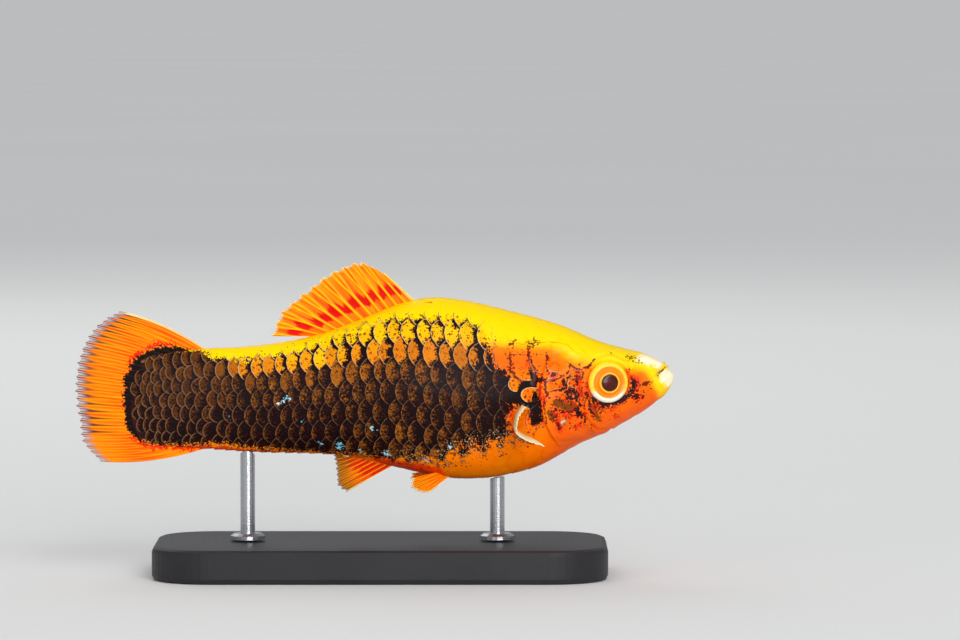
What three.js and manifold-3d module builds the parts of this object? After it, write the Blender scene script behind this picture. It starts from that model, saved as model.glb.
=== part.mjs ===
// A life-size female swordtail: a deep-bodied aquarium fish with an orange body, a black flank and
// orange fins, swimming level above a flat display base on two short rods.
// Millimetres, +Z up, +X towards the snout, +Y towards the fish's left side.
// The origin is at the middle of the whole model's underside.
import * as THREE from "three";
import { mergeVertices } from "three/addons/utils/BufferGeometryUtils.js";
import Module from "manifold-3d";

const wasm = await Module();
wasm.setup();

// Driving sizes of the whole fish
const totalLength = 90;
const snoutX = totalLength / 2;
const snoutZ = 29.7;
const fleshLength = 82;
const gap = 0.3;

// Lines of the body, as [distance behind the snout, size]. Heights are above the snout's tip.
const backLine = smoothLine([
  [0, 1.2],
  [2, 2.4],
  [5, 3.7],
  [11, 5.2],
  [17, 7.8],
  [26, 10.3],
  [32, 11.6],
  [36.5, 11.95],
  [41, 11.1],
  [47, 8.7],
  [53, 6.5],
  [59, 5.2],
  [65, 4.5],
  [70, 4.3],
  [78, 3.4],
  [82, 2.2],
]);
const bellyLine = smoothLine([
  [0, -1.6],
  [2, -3.2],
  [5, -5.4],
  [11, -8.7],
  [14, -9.9],
  [20, -13.3],
  [26, -14.9],
  [31, -15.3],
  [35, -15],
  [42, -13.5],
  [46, -12.5],
  [52, -11.7],
  [62, -11.4],
  [70, -10.9],
  [78, -10.4],
  [82, -9.6],
]);
const halfWidthLine = smoothLine([
  [0, 1.4],
  [2, 2.5],
  [4.5, 3.5],
  [9.5, 4.85],
  [14, 5.7],
  [20, 6.6],
  [29, 7.3],
  [35, 7.3],
  [41, 6.8],
  [53, 4.9],
  [65, 3],
  [75, 1.6],
  [80, 0.9],
  [82, 0.6],
]);
// How high the widest place lies, from 0 at the belly to 1 at the back
const widestPlaceLine = smoothLine([
  [0, 0.5],
  [10, 0.52],
  [30, 0.46],
  [50, 0.5],
  [82, 0.5],
]);
// Squareness of a section above and below its widest place: 2 is an ellipse, more is flatter
const upperSquarenessLine = smoothLine([
  [0, 2.2],
  [6, 2.7],
  [13, 2.5],
  [25, 2.1],
  [82, 2.1],
]);
const lowerSquarenessLine = smoothLine([
  [0, 2],
  [15, 2],
  [30, 2.2],
  [50, 1.9],
  [82, 2.1],
]);
const snoutRounding = 1.7;
const tailRounding = 3;
const bodyRings = 46;
const bodySides = 32;
// How many corners the round shapes have
const corners = { gillArc: 72, gillCover: 26, eye: 24, orbitRim: 28, orbitTube: 6, nostril: 10, lip: 8 };
// Cutters reach past the fish on every side
const cutterReach = 20;
const cutterHeight = 80;
const weldDistance = 1e-3;

// Where the head ends: an arc behind the gill covers
const gillArc = { behind: 7.5, above: -2.2, radius: 12.7 };
const stalkStart = 56;
const stalkEnd = 70;

const eye = { behind: 9.95, above: -0.55, out: 4.3, radius: 3.07, bulge: 1.2, depth: 2, turn: 13 };
const orbitRim = { radius: 3.6, thickness: 0.4, out: 4.3 };
const gillCover = { behind: 17.2, above: -4.3, length: 3.9, height: 5, lean: -6, rise: 0.25, depth: 0.8 };
const gillCoverFromMiddle = 1.5;
// The mouth slopes down to its corners: it opens at the front of the snout's top
const mouth = { front: 1.25, frontAbove: 1.6, corner: 2.75, cornerAbove: 0.45, slit: 0.3, ahead: 1.6 };
const upperLip = { side: 1, thickness: 0.4, cornerThickness: 0.22 };
const lowerLip = { side: -1, thickness: 0.5, cornerThickness: 0.26 };
// How a lip sits on the mouth's edge, in shares of its thickness, and how far it passes the corner
const lipSeat = { over: 0.8, inwards: 0.35, back: 0.3, pastCorner: 0.15, taper: 1.5, bow: 4 };
const nostrils = [
  { behind: 5.9, above: 1.35, radius: 0.36 },
  { behind: 6.9, above: 2.6, radius: 0.3 },
];

const base = { length: 68, width: 34, height: 5, corner: 8, bevel: 0.8, centre: 1 };
// Fins: the membrane, its edge, and a ray ridge's half width as a share of the distance between rays
const membraneThickness = 0.5;
const tipThickness = 0.3;
const rayFoot = 0.3;
const ridgeTaper = 0.6;
const rod = {
  radius: 1.1,
  foot: 2.6,
  footHeight: 0.9,
  footEdge: 0.36,
  footBevel: 0.5,
  intoBelly: 2,
  sides: 20,
  places: { front: 26.5, rear: 64 },
};

const colours = {
  skin: new THREE.MeshStandardMaterial({ color: 0xf59a12, roughness: 0.42, metalness: 0 }),
  flank: new THREE.MeshStandardMaterial({ color: 0x2c1a14, roughness: 0.4, metalness: 0.1 }),
  fin: new THREE.MeshStandardMaterial({ color: 0xf5820f, roughness: 0.45, metalness: 0 }),
  eye: new THREE.MeshStandardMaterial({ color: 0xf7a51c, roughness: 0.15, metalness: 0.2 }),
  base: new THREE.MeshStandardMaterial({ color: 0x26262a, roughness: 0.5, metalness: 0 }),
  rod: new THREE.MeshStandardMaterial({ color: 0xb8babd, roughness: 0.3, metalness: 1 }),
};

// A smooth line through [place, value] knots, as a function of the place
function smoothLine(knots) {
  const slope = knots.map((knot, i) => {
    const before = knots[Math.max(i - 1, 0)];
    const after = knots[Math.min(i + 1, knots.length - 1)];
    return (after[1] - before[1]) / (after[0] - before[0]);
  });
  return (place) => {
    const last = knots.length - 2;
    let i = knots.findIndex((knot) => knot[0] > place) - 1;
    if (i < 0) i = place <= knots[0][0] ? 0 : last;
    const span = knots[i + 1][0] - knots[i][0];
    const t = THREE.MathUtils.clamp((place - knots[i][0]) / span, 0, 1);
    const rise = knots[i + 1][1] - knots[i][1];
    const hermite = t * t * (3 - 2 * t) * rise;
    const bendIn = t * (1 - t) * (1 - t) * span * slope[i];
    const bendOut = t * t * (t - 1) * span * slope[i + 1];
    return knots[i][1] + hermite + bendIn + bendOut;
  };
}

// A point from its distance behind the snout, height above the snout and distance from the middle
function at(behind, above, out = 0) {
  return new THREE.Vector3(snoutX - behind, out, snoutZ + above);
}

// 1 along the body, falling to 0 in a round curve at each end
function endRounding(behind) {
  const fromSnout = Math.min(behind / snoutRounding, 1);
  const fromTail = Math.min((fleshLength - behind) / tailRounding, 1);
  const near = Math.min(fromSnout, fromTail);
  return Math.sqrt(Math.max(1 - (1 - near) ** 2, 0));
}

// A point on the body's surface, grown outwards by some millimetres
function skinPoint(behind, angle, grown) {
  const top = backLine(behind);
  const bottom = bellyLine(behind);
  const middle = bottom + widestPlaceLine(behind) * (top - bottom);
  const rounding = endRounding(behind);
  const upper = Math.sin(angle) > 0;
  const power = 2 / (upper ? upperSquarenessLine(behind) : lowerSquarenessLine(behind));
  const across = Math.sign(Math.cos(angle)) * Math.abs(Math.cos(angle)) ** power;
  const up = Math.sign(Math.sin(angle)) * Math.abs(Math.sin(angle)) ** power;
  const reach = upper ? top - middle : middle - bottom;
  const past = grown * (1 - rounding) * (behind < fleshLength / 2 ? -1 : 1);
  return at(
    behind + past,
    middle + up * (reach + grown) * rounding,
    across * (halfWidthLine(behind) + grown) * rounding,
  );
}

// A closed geometry from corner points and triangles
function closedGeometry(points, triangles) {
  const geometry = new THREE.BufferGeometry().setFromPoints(points);
  return geometry.setIndex(triangles);
}

// The whole body's flesh from snout to the end of the scaled tail root
function bodyGeometry(grown) {
  const points = [];
  const triangles = [];
  for (let ring = 1; ring < bodyRings; ring++) {
    const behind = fleshLength * (0.5 - 0.5 * Math.cos((Math.PI * ring) / bodyRings));
    for (let side = 0; side < bodySides; side++)
      points.push(skinPoint(behind, (2 * Math.PI * side) / bodySides, grown));
  }
  const snout = points.push(skinPoint(0, 0, grown)) - 1;
  const tail = points.push(skinPoint(fleshLength, 0, grown)) - 1;
  const lastRing = (bodyRings - 2) * bodySides;
  for (let side = 0; side < bodySides; side++) {
    const next = (side + 1) % bodySides;
    triangles.push(snout, side, next, tail, lastRing + next, lastRing + side);
    for (let ring = 0; ring < lastRing; ring += bodySides) {
      const [a, b] = [ring + side, ring + next];
      triangles.push(a, a + bodySides, b + bodySides, a, b + bodySides, b);
    }
  }
  return closedGeometry(points, triangles);
}

// Turning geometries into solids that can be joined and cut, and back
function solidFrom(geometry) {
  const plain = geometry.clone();
  plain.deleteAttribute("normal");
  plain.deleteAttribute("uv");
  const merged = mergeVertices(plain, weldDistance);
  return new wasm.Manifold(
    new wasm.Mesh({
      numProp: 3,
      vertProperties: new Float32Array(merged.attributes.position.array),
      triVerts: new Uint32Array(merged.index.array),
    }),
  );
}
function largestPiece(solid) {
  return solid.decompose().reduce((best, piece) => (piece.volume() > best.volume() ? piece : best));
}
function geometryFrom(solid) {
  const mesh = solid.getMesh();
  const geometry = new THREE.BufferGeometry();
  geometry.setAttribute("position", new THREE.BufferAttribute(mesh.vertProperties, 3));
  geometry.setIndex(new THREE.BufferAttribute(mesh.triVerts, 1));
  const flat = geometry.toNonIndexed();
  flat.computeVertexNormals();
  return flat;
}

// Cutters: a box between two distances behind the snout, and prisms across the fish
function slice(from, to) {
  const box = new THREE.BoxGeometry(to - from, 2 * cutterReach, cutterHeight);
  return solidFrom(box.translate(snoutX - (from + to) / 2, 0, snoutZ));
}
function prism(outline, fromY, toY) {
  const shape = new THREE.Shape(outline);
  const depth = Math.abs(toY - fromY);
  const geometry = new THREE.ExtrudeGeometry(shape, { depth, bevelEnabled: false });
  geometry.rotateX(Math.PI / 2);
  return solidFrom(geometry.translate(0, Math.max(fromY, toY), 0));
}
function ellipseOutline(behind, above, length, height, leanDegrees, sides) {
  const curve = new THREE.EllipseCurve(
    snoutX - behind,
    snoutZ + above,
    length,
    height,
    0,
    2 * Math.PI,
    false,
    THREE.MathUtils.degToRad(leanDegrees),
  );
  return curve.getPoints(sides).slice(0, -1);
}

// The flesh, cut where a person would name its parts
const flesh = solidFrom(bodyGeometry(0));
const fleshWithGap = solidFrom(bodyGeometry(gap));
const gillEdge = (grown) =>
  prism(
    ellipseOutline(
      gillArc.behind,
      gillArc.above,
      gillArc.radius + grown,
      gillArc.radius + grown,
      0,
      corners.gillArc,
    ),
    -cutterReach,
    cutterReach,
  );

function eyeProfile(grown) {
  const { radius, bulge, depth } = eye;
  const steps = 5;
  const profile = [];
  for (let i = 0; i <= 2 * steps; i++) {
    const turn = ((i - steps) / steps) * (Math.PI / 2);
    const reach = turn < 0 ? depth : bulge;
    const round = i === 0 || i === 2 * steps ? 0 : Math.cos(turn) * (radius + grown);
    profile.push(new THREE.Vector2(round, Math.sin(turn) * (reach + grown)));
  }
  return profile;
}

// Moves a shape made round the Y axis onto the eye's place, facing out on one side (-1 is the right)
function ontoEye(geometry, out, side) {
  if (side < 0) geometry.rotateZ(Math.PI);
  geometry.rotateZ(THREE.MathUtils.degToRad(-side * eye.turn));
  const place = at(eye.behind, eye.above, side * out);
  return geometry.translate(place.x, place.y, place.z);
}
function eyeSolid(side, grown) {
  return solidFrom(ontoEye(new THREE.LatheGeometry(eyeProfile(grown), corners.eye), eye.out, side));
}
function orbitRimSolid(side) {
  const { radius, thickness } = orbitRim;
  const ring = new THREE.TorusGeometry(radius, thickness, corners.orbitTube, corners.orbitRim);
  ring.rotateX(Math.PI / 2);
  return solidFrom(ontoEye(ring, orbitRim.out, side));
}

// The gill cover's outline, taken through one side of the head
function gillCoverPrism(side, grown) {
  const { behind, above, length, height, lean } = gillCover;
  const outline = ellipseOutline(
    behind,
    above,
    length + grown,
    height + grown,
    lean,
    corners.gillCover,
  );
  return prism(outline, side * gillCoverFromMiddle, side * cutterReach);
}
function gillCoverSolid(side) {
  const outer = solidFrom(bodyGeometry(gillCover.rise));
  const inner = solidFrom(bodyGeometry(-gillCover.depth));
  const cover = gillCoverPrism(side, 0).intersect(gillEdge(-gap / 2));
  return largestPiece(cover.intersect(outer).subtract(inner));
}
function gillCoverRecess(side) {
  const floor = solidFrom(bodyGeometry(-gillCover.depth - gap));
  return gillCoverPrism(side, gap).subtract(floor);
}

// How far out the skin lies at a height, on the body's side
function skinOut(behind, above) {
  const top = backLine(behind);
  const bottom = bellyLine(behind);
  const middle = bottom + widestPlaceLine(behind) * (top - bottom);
  const rounding = endRounding(behind);
  const reach = (above > middle ? top - middle : middle - bottom) * rounding;
  const power = (above > middle ? upperSquarenessLine : lowerSquarenessLine)(behind);
  const share = Math.min(Math.abs(above - middle) / reach, 1);
  return halfWidthLine(behind) * rounding * (1 - share ** power) ** (1 / power);
}

const mouthSlope = (mouth.cornerAbove - mouth.frontAbove) / (mouth.corner - mouth.front);
const mouthLine = (behind) => mouth.frontAbove + mouthSlope * (behind - mouth.front);

// The mouth: a thin slit across the snout, from its front to the corners
function mouthSlit() {
  const ahead = mouth.front - mouth.ahead;
  const half = mouth.slit / 2;
  const outline = [
    [ahead, mouthLine(ahead) - half],
    [mouth.corner, mouth.cornerAbove - half],
    [mouth.corner + half, mouth.cornerAbove],
    [mouth.corner, mouth.cornerAbove + half],
    [ahead, mouthLine(ahead) + half],
  ];
  return prism(
    outline.map(([behind, above]) => new THREE.Vector2(snoutX - behind, snoutZ + above)),
    -cutterReach,
    cutterReach,
  );
}

// A round bar along some points, with its own thickness at each, closed by pointed ends
function barSolid(points, thickness) {
  const sides = corners.lip;
  const rings = points.length;
  const path = new THREE.CatmullRomCurve3(points);
  const frames = path.computeFrenetFrames(rings - 1);
  const skin = [];
  const triangles = [];
  points.forEach((point, ring) => {
    for (let side = 0; side < sides; side++) {
      const turn = (2 * Math.PI * side) / sides;
      const corner = point.clone().addScaledVector(frames.normals[ring], Math.cos(turn) * thickness[ring]);
      skin.push(corner.addScaledVector(frames.binormals[ring], Math.sin(turn) * thickness[ring]));
    }
  });
  const first = skin.push(points[0].clone().addScaledVector(frames.tangents[0], -thickness[0])) - 1;
  const tip = points[rings - 1].clone().addScaledVector(frames.tangents[rings - 1], thickness[rings - 1]);
  const last = skin.push(tip) - 1;
  for (let side = 0; side < sides; side++) {
    const next = (side + 1) % sides;
    const end = (rings - 1) * sides;
    triangles.push(first, next, side, last, end + side, end + next);
    for (let ring = 0; ring < end; ring += sides) {
      triangles.push(ring + side, ring + next, ring + sides + next);
      triangles.push(ring + side, ring + sides + next, ring + sides + side);
    }
  }
  return solidFrom(closedGeometry(skin, triangles));
}

// A lip follows the line where the mouth meets the skin, from corner to corner
function lipSolid(lip) {
  const steps = 12;
  const points = [];
  const thickness = [];
  for (let i = 0; i <= steps; i++) {
    const across = (2 * i) / steps - 1;
    const offMiddle = Math.abs(across);
    const behind = THREE.MathUtils.lerp(mouth.front, mouth.corner + lipSeat.pastCorner, across ** 2);
    const size = THREE.MathUtils.lerp(lip.thickness, lip.cornerThickness, offMiddle ** lipSeat.taper);
    const above = mouthLine(behind) + lip.side * size * lipSeat.over;
    const wide = Math.max(skinOut(behind, above) - size * lipSeat.inwards, 0);
    const out = Math.sign(across) * wide * Math.min(offMiddle * lipSeat.bow, 1);
    points.push(at(behind + size * lipSeat.back, above, out));
    thickness.push(size);
  }
  return barSolid(points, thickness);
}

function nostrilSolid(nostril, side) {
  const { behind, above, radius } = nostril;
  const place = at(behind, above, side * skinOut(behind, above));
  const pit = new THREE.SphereGeometry(radius, corners.nostril, corners.nostril / 2 + 1);
  return solidFrom(pit.translate(place.x, place.y, place.z));
}

function headSolid() {
  let head = flesh.intersect(gillEdge(-gap / 2));
  head = head.add(lipSolid(upperLip)).add(lipSolid(lowerLip)).subtract(mouthSlit());
  for (const side of [-1, 1]) {
    head = head.add(orbitRimSolid(side)).subtract(eyeSolid(side, gap)).subtract(gillCoverRecess(side));
    for (const nostril of nostrils) head = head.subtract(nostrilSolid(nostril, side));
  }
  return largestPiece(head);
}
function torsoSolid() {
  const behindHead = flesh.subtract(gillEdge(gap / 2));
  return largestPiece(behindHead.intersect(slice(0, stalkStart - gap / 2)));
}
const tailStalkSolid = () => flesh.intersect(slice(stalkStart + gap / 2, stalkEnd - gap / 2));

// A fin: a membrane between its root line and its edge, with a ridge on both faces for each ray.
// Root and edge run from the leading ray to the last one, and the rays go on inwards past the root.
// The membrane's edge is notched between rays.
function finGeometry(fin) {
  const { rays, rows } = fin;
  const root = new THREE.CatmullRomCurve3(fin.root, false, "centripetal");
  const edge = new THREE.CatmullRomCurve3(fin.edge, false, "centripetal");
  const middle = (u, v) => {
    const point = root.getPoint(u).lerp(edge.getPoint(u), v);
    const belly = 4 * v * (1 - v);
    if (fin.cup) point.addScaledVector(fin.cup, belly);
    if (fin.bow) point.z += fin.bow * (1 - 2 * u) * belly;
    return point;
  };
  // Columns run along the rays: a crest for each ray, with the ridge's two feet beside it
  const columns = [];
  for (let ray = 0; ray < rays; ray++)
    for (const foot of [-rayFoot, 0, rayFoot]) {
      const u = (ray + foot) / (rays - 1);
      if (u >= 0 && u <= 1) columns.push({ u, crest: foot === 0 });
    }
  const faces = [[], []];
  const step = 0.01;
  for (const { u, crest } of columns) {
    const length = root.getPoint(u).distanceTo(edge.getPoint(u));
    const reach = crest ? 1 : 1 - fin.notch / length;
    for (let row = 0; row <= rows; row++) {
      const v = THREE.MathUtils.lerp(-fin.sunk / length, reach, row / rows);
      const alongU = middle(Math.min(u + step, 1), v).sub(middle(Math.max(u - step, 0), v));
      const alongV = middle(u, v + step).sub(middle(u, v - step));
      const normal = alongU.cross(alongV).normalize();
      const ridge = crest ? fin.ridge * (1 - ridgeTaper * v) : 0;
      const thickness = THREE.MathUtils.lerp(fin.rootThickness, membraneThickness, v);
      const half = (row === rows ? tipThickness : thickness) / 2 + ridge;
      faces[0].push(middle(u, v).addScaledVector(normal, half));
      faces[1].push(middle(u, v).addScaledVector(normal, -half));
    }
  }
  return sheetGeometry(faces, columns.length - 1, rows);
}

// Closes two alike grids of points, one on each face of a sheet, with rims all round
function sheetGeometry(faces, columns, rows) {
  const across = rows + 1;
  const back = faces[0].length;
  const triangles = [];
  for (let column = 0; column < columns; column++)
    for (let row = 0; row < rows; row++) {
      const a = column * across + row;
      const [b, c, d] = [a + across, a + across + 1, a + 1];
      triangles.push(a, b, c, a, c, d);
      triangles.push(back + a, back + c, back + b, back + a, back + d, back + c);
    }
  const rim = [];
  for (let column = 0; column < columns; column++) rim.push(column * across);
  for (let row = 0; row < rows; row++) rim.push(columns * across + row);
  for (let column = columns; column > 0; column--) rim.push(column * across + rows);
  for (let row = rows; row > 0; row--) rim.push(row);
  rim.forEach((a, i) => {
    const b = rim[(i + 1) % rim.length];
    triangles.push(b, a, back + a, b, back + a, back + b);
  });
  return closedGeometry([...faces[0], ...faces[1]], triangles);
}

// A fin's solid, trimmed to meet the flesh face to face
function finSolid(fin) {
  const solid = solidFrom(finGeometry(fin));
  return largestPiece(solid.subtract(fleshWithGap));
}
const finPoints = (points) => points.map(([behind, above, out = 0]) => at(behind, above, out));

const dorsalFin = {
  rays: 13,
  rows: 5,
  rootThickness: 0.7,
  ridge: 0.18,
  notch: 0.5,
  sunk: 1.4,
  root: [39, 44.2, 49.5, 54.7].map((behind) => at(behind, backLine(behind))),
  edge: finPoints([
    [43.5, 15.75],
    [46.95, 17.45],
    [49.8, 16.95],
    [53.1, 15],
    [56.1, 12.6],
    [59.25, 9.9],
    [60.75, 6.15],
  ]),
};
const caudalFin = {
  rays: 20,
  rows: 7,
  rootThickness: 0.9,
  ridge: 0.18,
  notch: 0.7,
  bow: 0.9,
  sunk: 0.6,
  root: finPoints([
    [stalkEnd, 4.2],
    [stalkEnd, -3.3],
    [stalkEnd, -10.8],
  ]),
  edge: finPoints([
    [83.4, 9.9],
    [86.4, 8.1],
    [88.6, 5.1],
    [89.8, 1.4],
    [totalLength, -2.4],
    [89.5, -6.4],
    [88.8, -10],
    [86.4, -12.7],
  ]),
};
const analFin = {
  rays: 9,
  rows: 4,
  rootThickness: 0.7,
  ridge: 0.18,
  notch: 0.4,
  sunk: 1.4,
  root: [42.3, 46, 49.8].map((behind) => at(behind, bellyLine(behind))),
  edge: finPoints([
    [49.35, -17.5],
    [50.7, -16.4],
    [50.9, -14.9],
    [51.1, -13.2],
    [51.45, -11.7],
  ]),
};
const pelvicFin = (side) => ({
  rays: 6,
  rows: 4,
  rootThickness: 0.7,
  ridge: 0.16,
  notch: 0.4,
  sunk: 1,
  root: finPoints([
    [33.7, -14.8, side * 1.4],
    [34.8, -14.6, side * 2],
    [35.8, -14.2, side * 2.5],
  ]),
  edge: finPoints([
    [36.9, -17.4, side * 3.2],
    [38.6, -17.2, side * 3.9],
    [39.8, -16.2, side * 4.5],
    [39.6, -14.9, side * 4.7],
  ]),
});
const pectoralFin = (side) => ({
  rays: 12,
  rows: 5,
  rootThickness: 0.7,
  ridge: 0.14,
  notch: 0.4,
  sunk: 1.4,
  cup: new THREE.Vector3(-0.8, 0, 0.3),
  root: finPoints([
    [21.9, -4.2, side * 6.7],
    [22.7, -5.8, side * 6.6],
    [22.6, -7.4, side * 6.2],
  ]),
  edge: finPoints([
    [22, -3.6, side * 14.4],
    [23.4, -5.2, side * 16.4],
    [23.7, -7.2, side * 16.8],
    [21.8, -8.6, side * 15.6],
    [19.4, -9.6, side * 13.6],
  ]),
});

// The stand: a flat plate with round corners, and rods that reach the belly
function standBaseSolid() {
  const { length, width, height, corner, bevel, centre } = base;
  const [x, y] = [length / 2 - bevel, width / 2 - bevel];
  const shape = new THREE.Shape();
  shape.moveTo(-x + corner, -y);
  shape.absarc(x - corner, -y + corner, corner, -Math.PI / 2, 0);
  shape.absarc(x - corner, y - corner, corner, 0, Math.PI / 2);
  shape.absarc(-x + corner, y - corner, corner, Math.PI / 2, Math.PI);
  shape.absarc(-x + corner, -y + corner, corner, Math.PI, 1.5 * Math.PI);
  const geometry = new THREE.ExtrudeGeometry(shape, {
    depth: height - 2 * bevel,
    curveSegments: 6,
    bevelThickness: bevel,
    bevelSize: bevel,
    bevelSegments: 2,
  });
  return solidFrom(geometry.translate(centre, 0, bevel));
}
function standRodSolid(behind) {
  const reach = snoutZ + bellyLine(behind) + rod.intoBelly;
  const bottom = base.height + gap;
  const profile = [
    [0, bottom],
    [rod.foot, bottom],
    [rod.foot, bottom + rod.footHeight - rod.footEdge],
    [rod.foot - rod.footBevel, bottom + rod.footHeight],
    [rod.radius, bottom + rod.footHeight],
    [rod.radius, reach],
    [0, reach],
  ].map(([round, up]) => new THREE.Vector2(round, up));
  const geometry = new THREE.LatheGeometry(profile, rod.sides).rotateX(Math.PI / 2);
  geometry.translate(snoutX - behind, 0, 0);
  return largestPiece(solidFrom(geometry).subtract(fleshWithGap));
}

// The model
const model = new THREE.Group();
function addPart(name, solid, material) {
  const mesh = new THREE.Mesh(geometryFrom(solid), material);
  mesh.name = name;
  model.add(mesh);
}
addPart("head", headSolid(), colours.skin);
addPart("torso", torsoSolid(), colours.flank);
addPart("tail_stalk", tailStalkSolid(), colours.flank);
addPart("dorsal_fin", finSolid(dorsalFin), colours.fin);
addPart("anal_fin", finSolid(analFin), colours.fin);

const tailRoot = flesh.intersect(slice(stalkEnd + gap / 2, fleshLength + 1));
const caudalSheet = solidFrom(finGeometry(caudalFin));
const caudalSolid = caudalSheet.intersect(slice(stalkEnd + gap / 2, totalLength + 2)).add(tailRoot);
addPart("caudal_fin", largestPiece(caudalSolid), colours.fin);

for (const [sideName, side] of [
  ["left", 1],
  ["right", -1],
]) {
  addPart(`gill_cover_${sideName}`, gillCoverSolid(side), colours.skin);
  addPart(`eye_${sideName}`, eyeSolid(side, 0), colours.eye);
  addPart(`pectoral_fin_${sideName}`, finSolid(pectoralFin(side)), colours.fin);
  addPart(`pelvic_fin_${sideName}`, finSolid(pelvicFin(side)), colours.fin);
}
addPart("stand_base", standBaseSolid(), colours.base);
for (const [place, behind] of Object.entries(rod.places))
  addPart(`stand_rod_${place}`, standRodSolid(behind), colours.rod);

export default model;
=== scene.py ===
"""A swordtail fish as a still display model: its skin, scales, fins, eyes, stand and studio.

The fish's own shape is worked out in millimetres, as places behind the snout's tip, above its level
and out from its middle plane, and becomes metres when a mesh is made.
"""

import math
from types import SimpleNamespace

import bpy
import numpy as np
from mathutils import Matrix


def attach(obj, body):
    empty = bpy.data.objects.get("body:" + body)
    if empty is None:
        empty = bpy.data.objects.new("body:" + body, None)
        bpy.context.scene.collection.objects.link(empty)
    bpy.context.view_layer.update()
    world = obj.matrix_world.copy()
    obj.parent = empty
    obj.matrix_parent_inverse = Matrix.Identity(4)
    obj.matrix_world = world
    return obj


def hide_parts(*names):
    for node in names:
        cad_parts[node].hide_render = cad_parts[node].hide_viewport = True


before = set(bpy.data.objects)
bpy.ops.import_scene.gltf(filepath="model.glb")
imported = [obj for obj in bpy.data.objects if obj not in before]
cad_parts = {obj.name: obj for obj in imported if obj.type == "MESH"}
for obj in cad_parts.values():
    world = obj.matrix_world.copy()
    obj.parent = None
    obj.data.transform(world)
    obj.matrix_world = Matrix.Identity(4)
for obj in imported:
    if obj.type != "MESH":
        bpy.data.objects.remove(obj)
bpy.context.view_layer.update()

bl_info = {
    "name": "Swordtail display model",
    "version": (1, 0, 0),
    "blender": (4, 5, 0),
    "location": "3D View > Sidebar > Swordtail",
    "description": "Builds the skin, scales, fins, eyes and studio of a swordtail model",
    "category": "Mesh",
}

# The body's lengths, in millimetres
MM = 0.001
SNOUT_X = 45.0
SNOUT_Z = 29.7
TOTAL_LENGTH = 90.0
FLESH_LENGTH = 82.0
STALK_END = 70.0
MIDDLE_LENGTH = FLESH_LENGTH / 2
SNOUT_ROUNDING = 1.7
TAIL_ROUNDING = 3.0
RIGHT, LEFT = -1, 1
QUARTER = math.pi / 2


def smooth_line(*points):
    """A smooth line through (place, value) points, as a function of an array of places."""
    at, value = np.array(points, float).T
    last = len(at) - 1
    before = np.maximum(np.arange(last + 1) - 1, 0)
    after = np.minimum(np.arange(last + 1) + 1, last)
    slope = (value[after] - value[before]) / (at[after] - at[before])

    def line(place):
        place = np.clip(np.asarray(place, float), at[0], at[-1])
        i = np.clip(np.searchsorted(at, place, side="right") - 1, 0, last - 1)
        span = at[i + 1] - at[i]
        t = (place - at[i]) / span
        rise = t * t * (3 - 2 * t) * (value[i + 1] - value[i])
        leaving = t * (1 - t) ** 2 * span * slope[i]
        arriving = t * t * (t - 1) * span * slope[i + 1]
        return value[i] + rise + leaving + arriving

    return line


def smooth_step(low, high, value):
    """0 below low, 1 above high, and a smooth rise between them."""
    t = np.clip((np.asarray(value, float) - low) / (high - low), 0, 1)
    return t * t * (3 - 2 * t)


def bump(distance, width):
    """A round hump of height 1 at distance 0."""
    return np.exp(-((distance / width) ** 2))


def band(rise, fall, value):
    """1 between a smooth rise and a smooth fall, each given from its 0 to its 1."""
    return smooth_step(*rise, value) * smooth_step(*fall, value)


def ridges(distance, rows):
    """Height of ridges, or of grooves where it is below 0, as their (height, place, width)."""
    return sum(height * bump(distance - place, width) for height, place, width in rows)


# The body's outline and sections, by distance behind the snout
back_line = smooth_line(
    (0, 1.2), (2, 2.4), (5, 3.7), (11, 5.2), (17, 7.8), (26, 10.3), (32, 11.6), (36.5, 11.95),
    (41, 11.1), (47, 8.7), (53, 6.5), (59, 5.2), (65, 4.5), (70, 4.3), (78, 3.4), (82, 2.2),
)
belly_line = smooth_line(
    (0, -1.6), (2, -3.2), (5, -5.4), (11, -8.7), (14, -9.9), (20, -13.3), (26, -14.9),
    (31, -15.3), (35, -15), (42, -13.5), (46, -12.5), (52, -11.7), (62, -11.4), (70, -10.9),
    (78, -10.4), (82, -9.6),
)
half_width_line = smooth_line(
    (0, 1.4), (2, 2.5), (4.5, 3.5), (9.5, 4.85), (14, 5.7), (20, 6.6), (29, 7.3), (35, 7.3),
    (41, 6.8), (53, 4.9), (65, 3), (75, 1.6), (80, 0.9), (82, 0.6),
)
widest_place_line = smooth_line((0, 0.5), (10, 0.52), (30, 0.46), (50, 0.5), (82, 0.5))
upper_squareness_line = smooth_line((0, 2.2), (6, 2.7), (13, 2.5), (25, 2.1), (82, 2.1))
lower_squareness_line = smooth_line((0, 2), (15, 2), (30, 2.2), (50, 1.9), (82, 2.1))

# The scales' pitch along a row, and the rows' pitch round the body
scale_pitch_line = smooth_line(
    (8, 1.5), (14, 2.0), (22, 2.5), (28, 2.35), (33, 2.25), (45, 2.1), (56, 1.9), (64, 1.8),
    (70, 1.6), (76, 1.3), (82, 1.05),
)
row_pitch_line = smooth_line(
    (8, 2.3), (18, 3.1), (25, 3.4), (33, 3.28), (48, 3.0), (64, 2.55), (70, 2.3), (76, 2.0),
    (82, 1.7),
)

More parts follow.
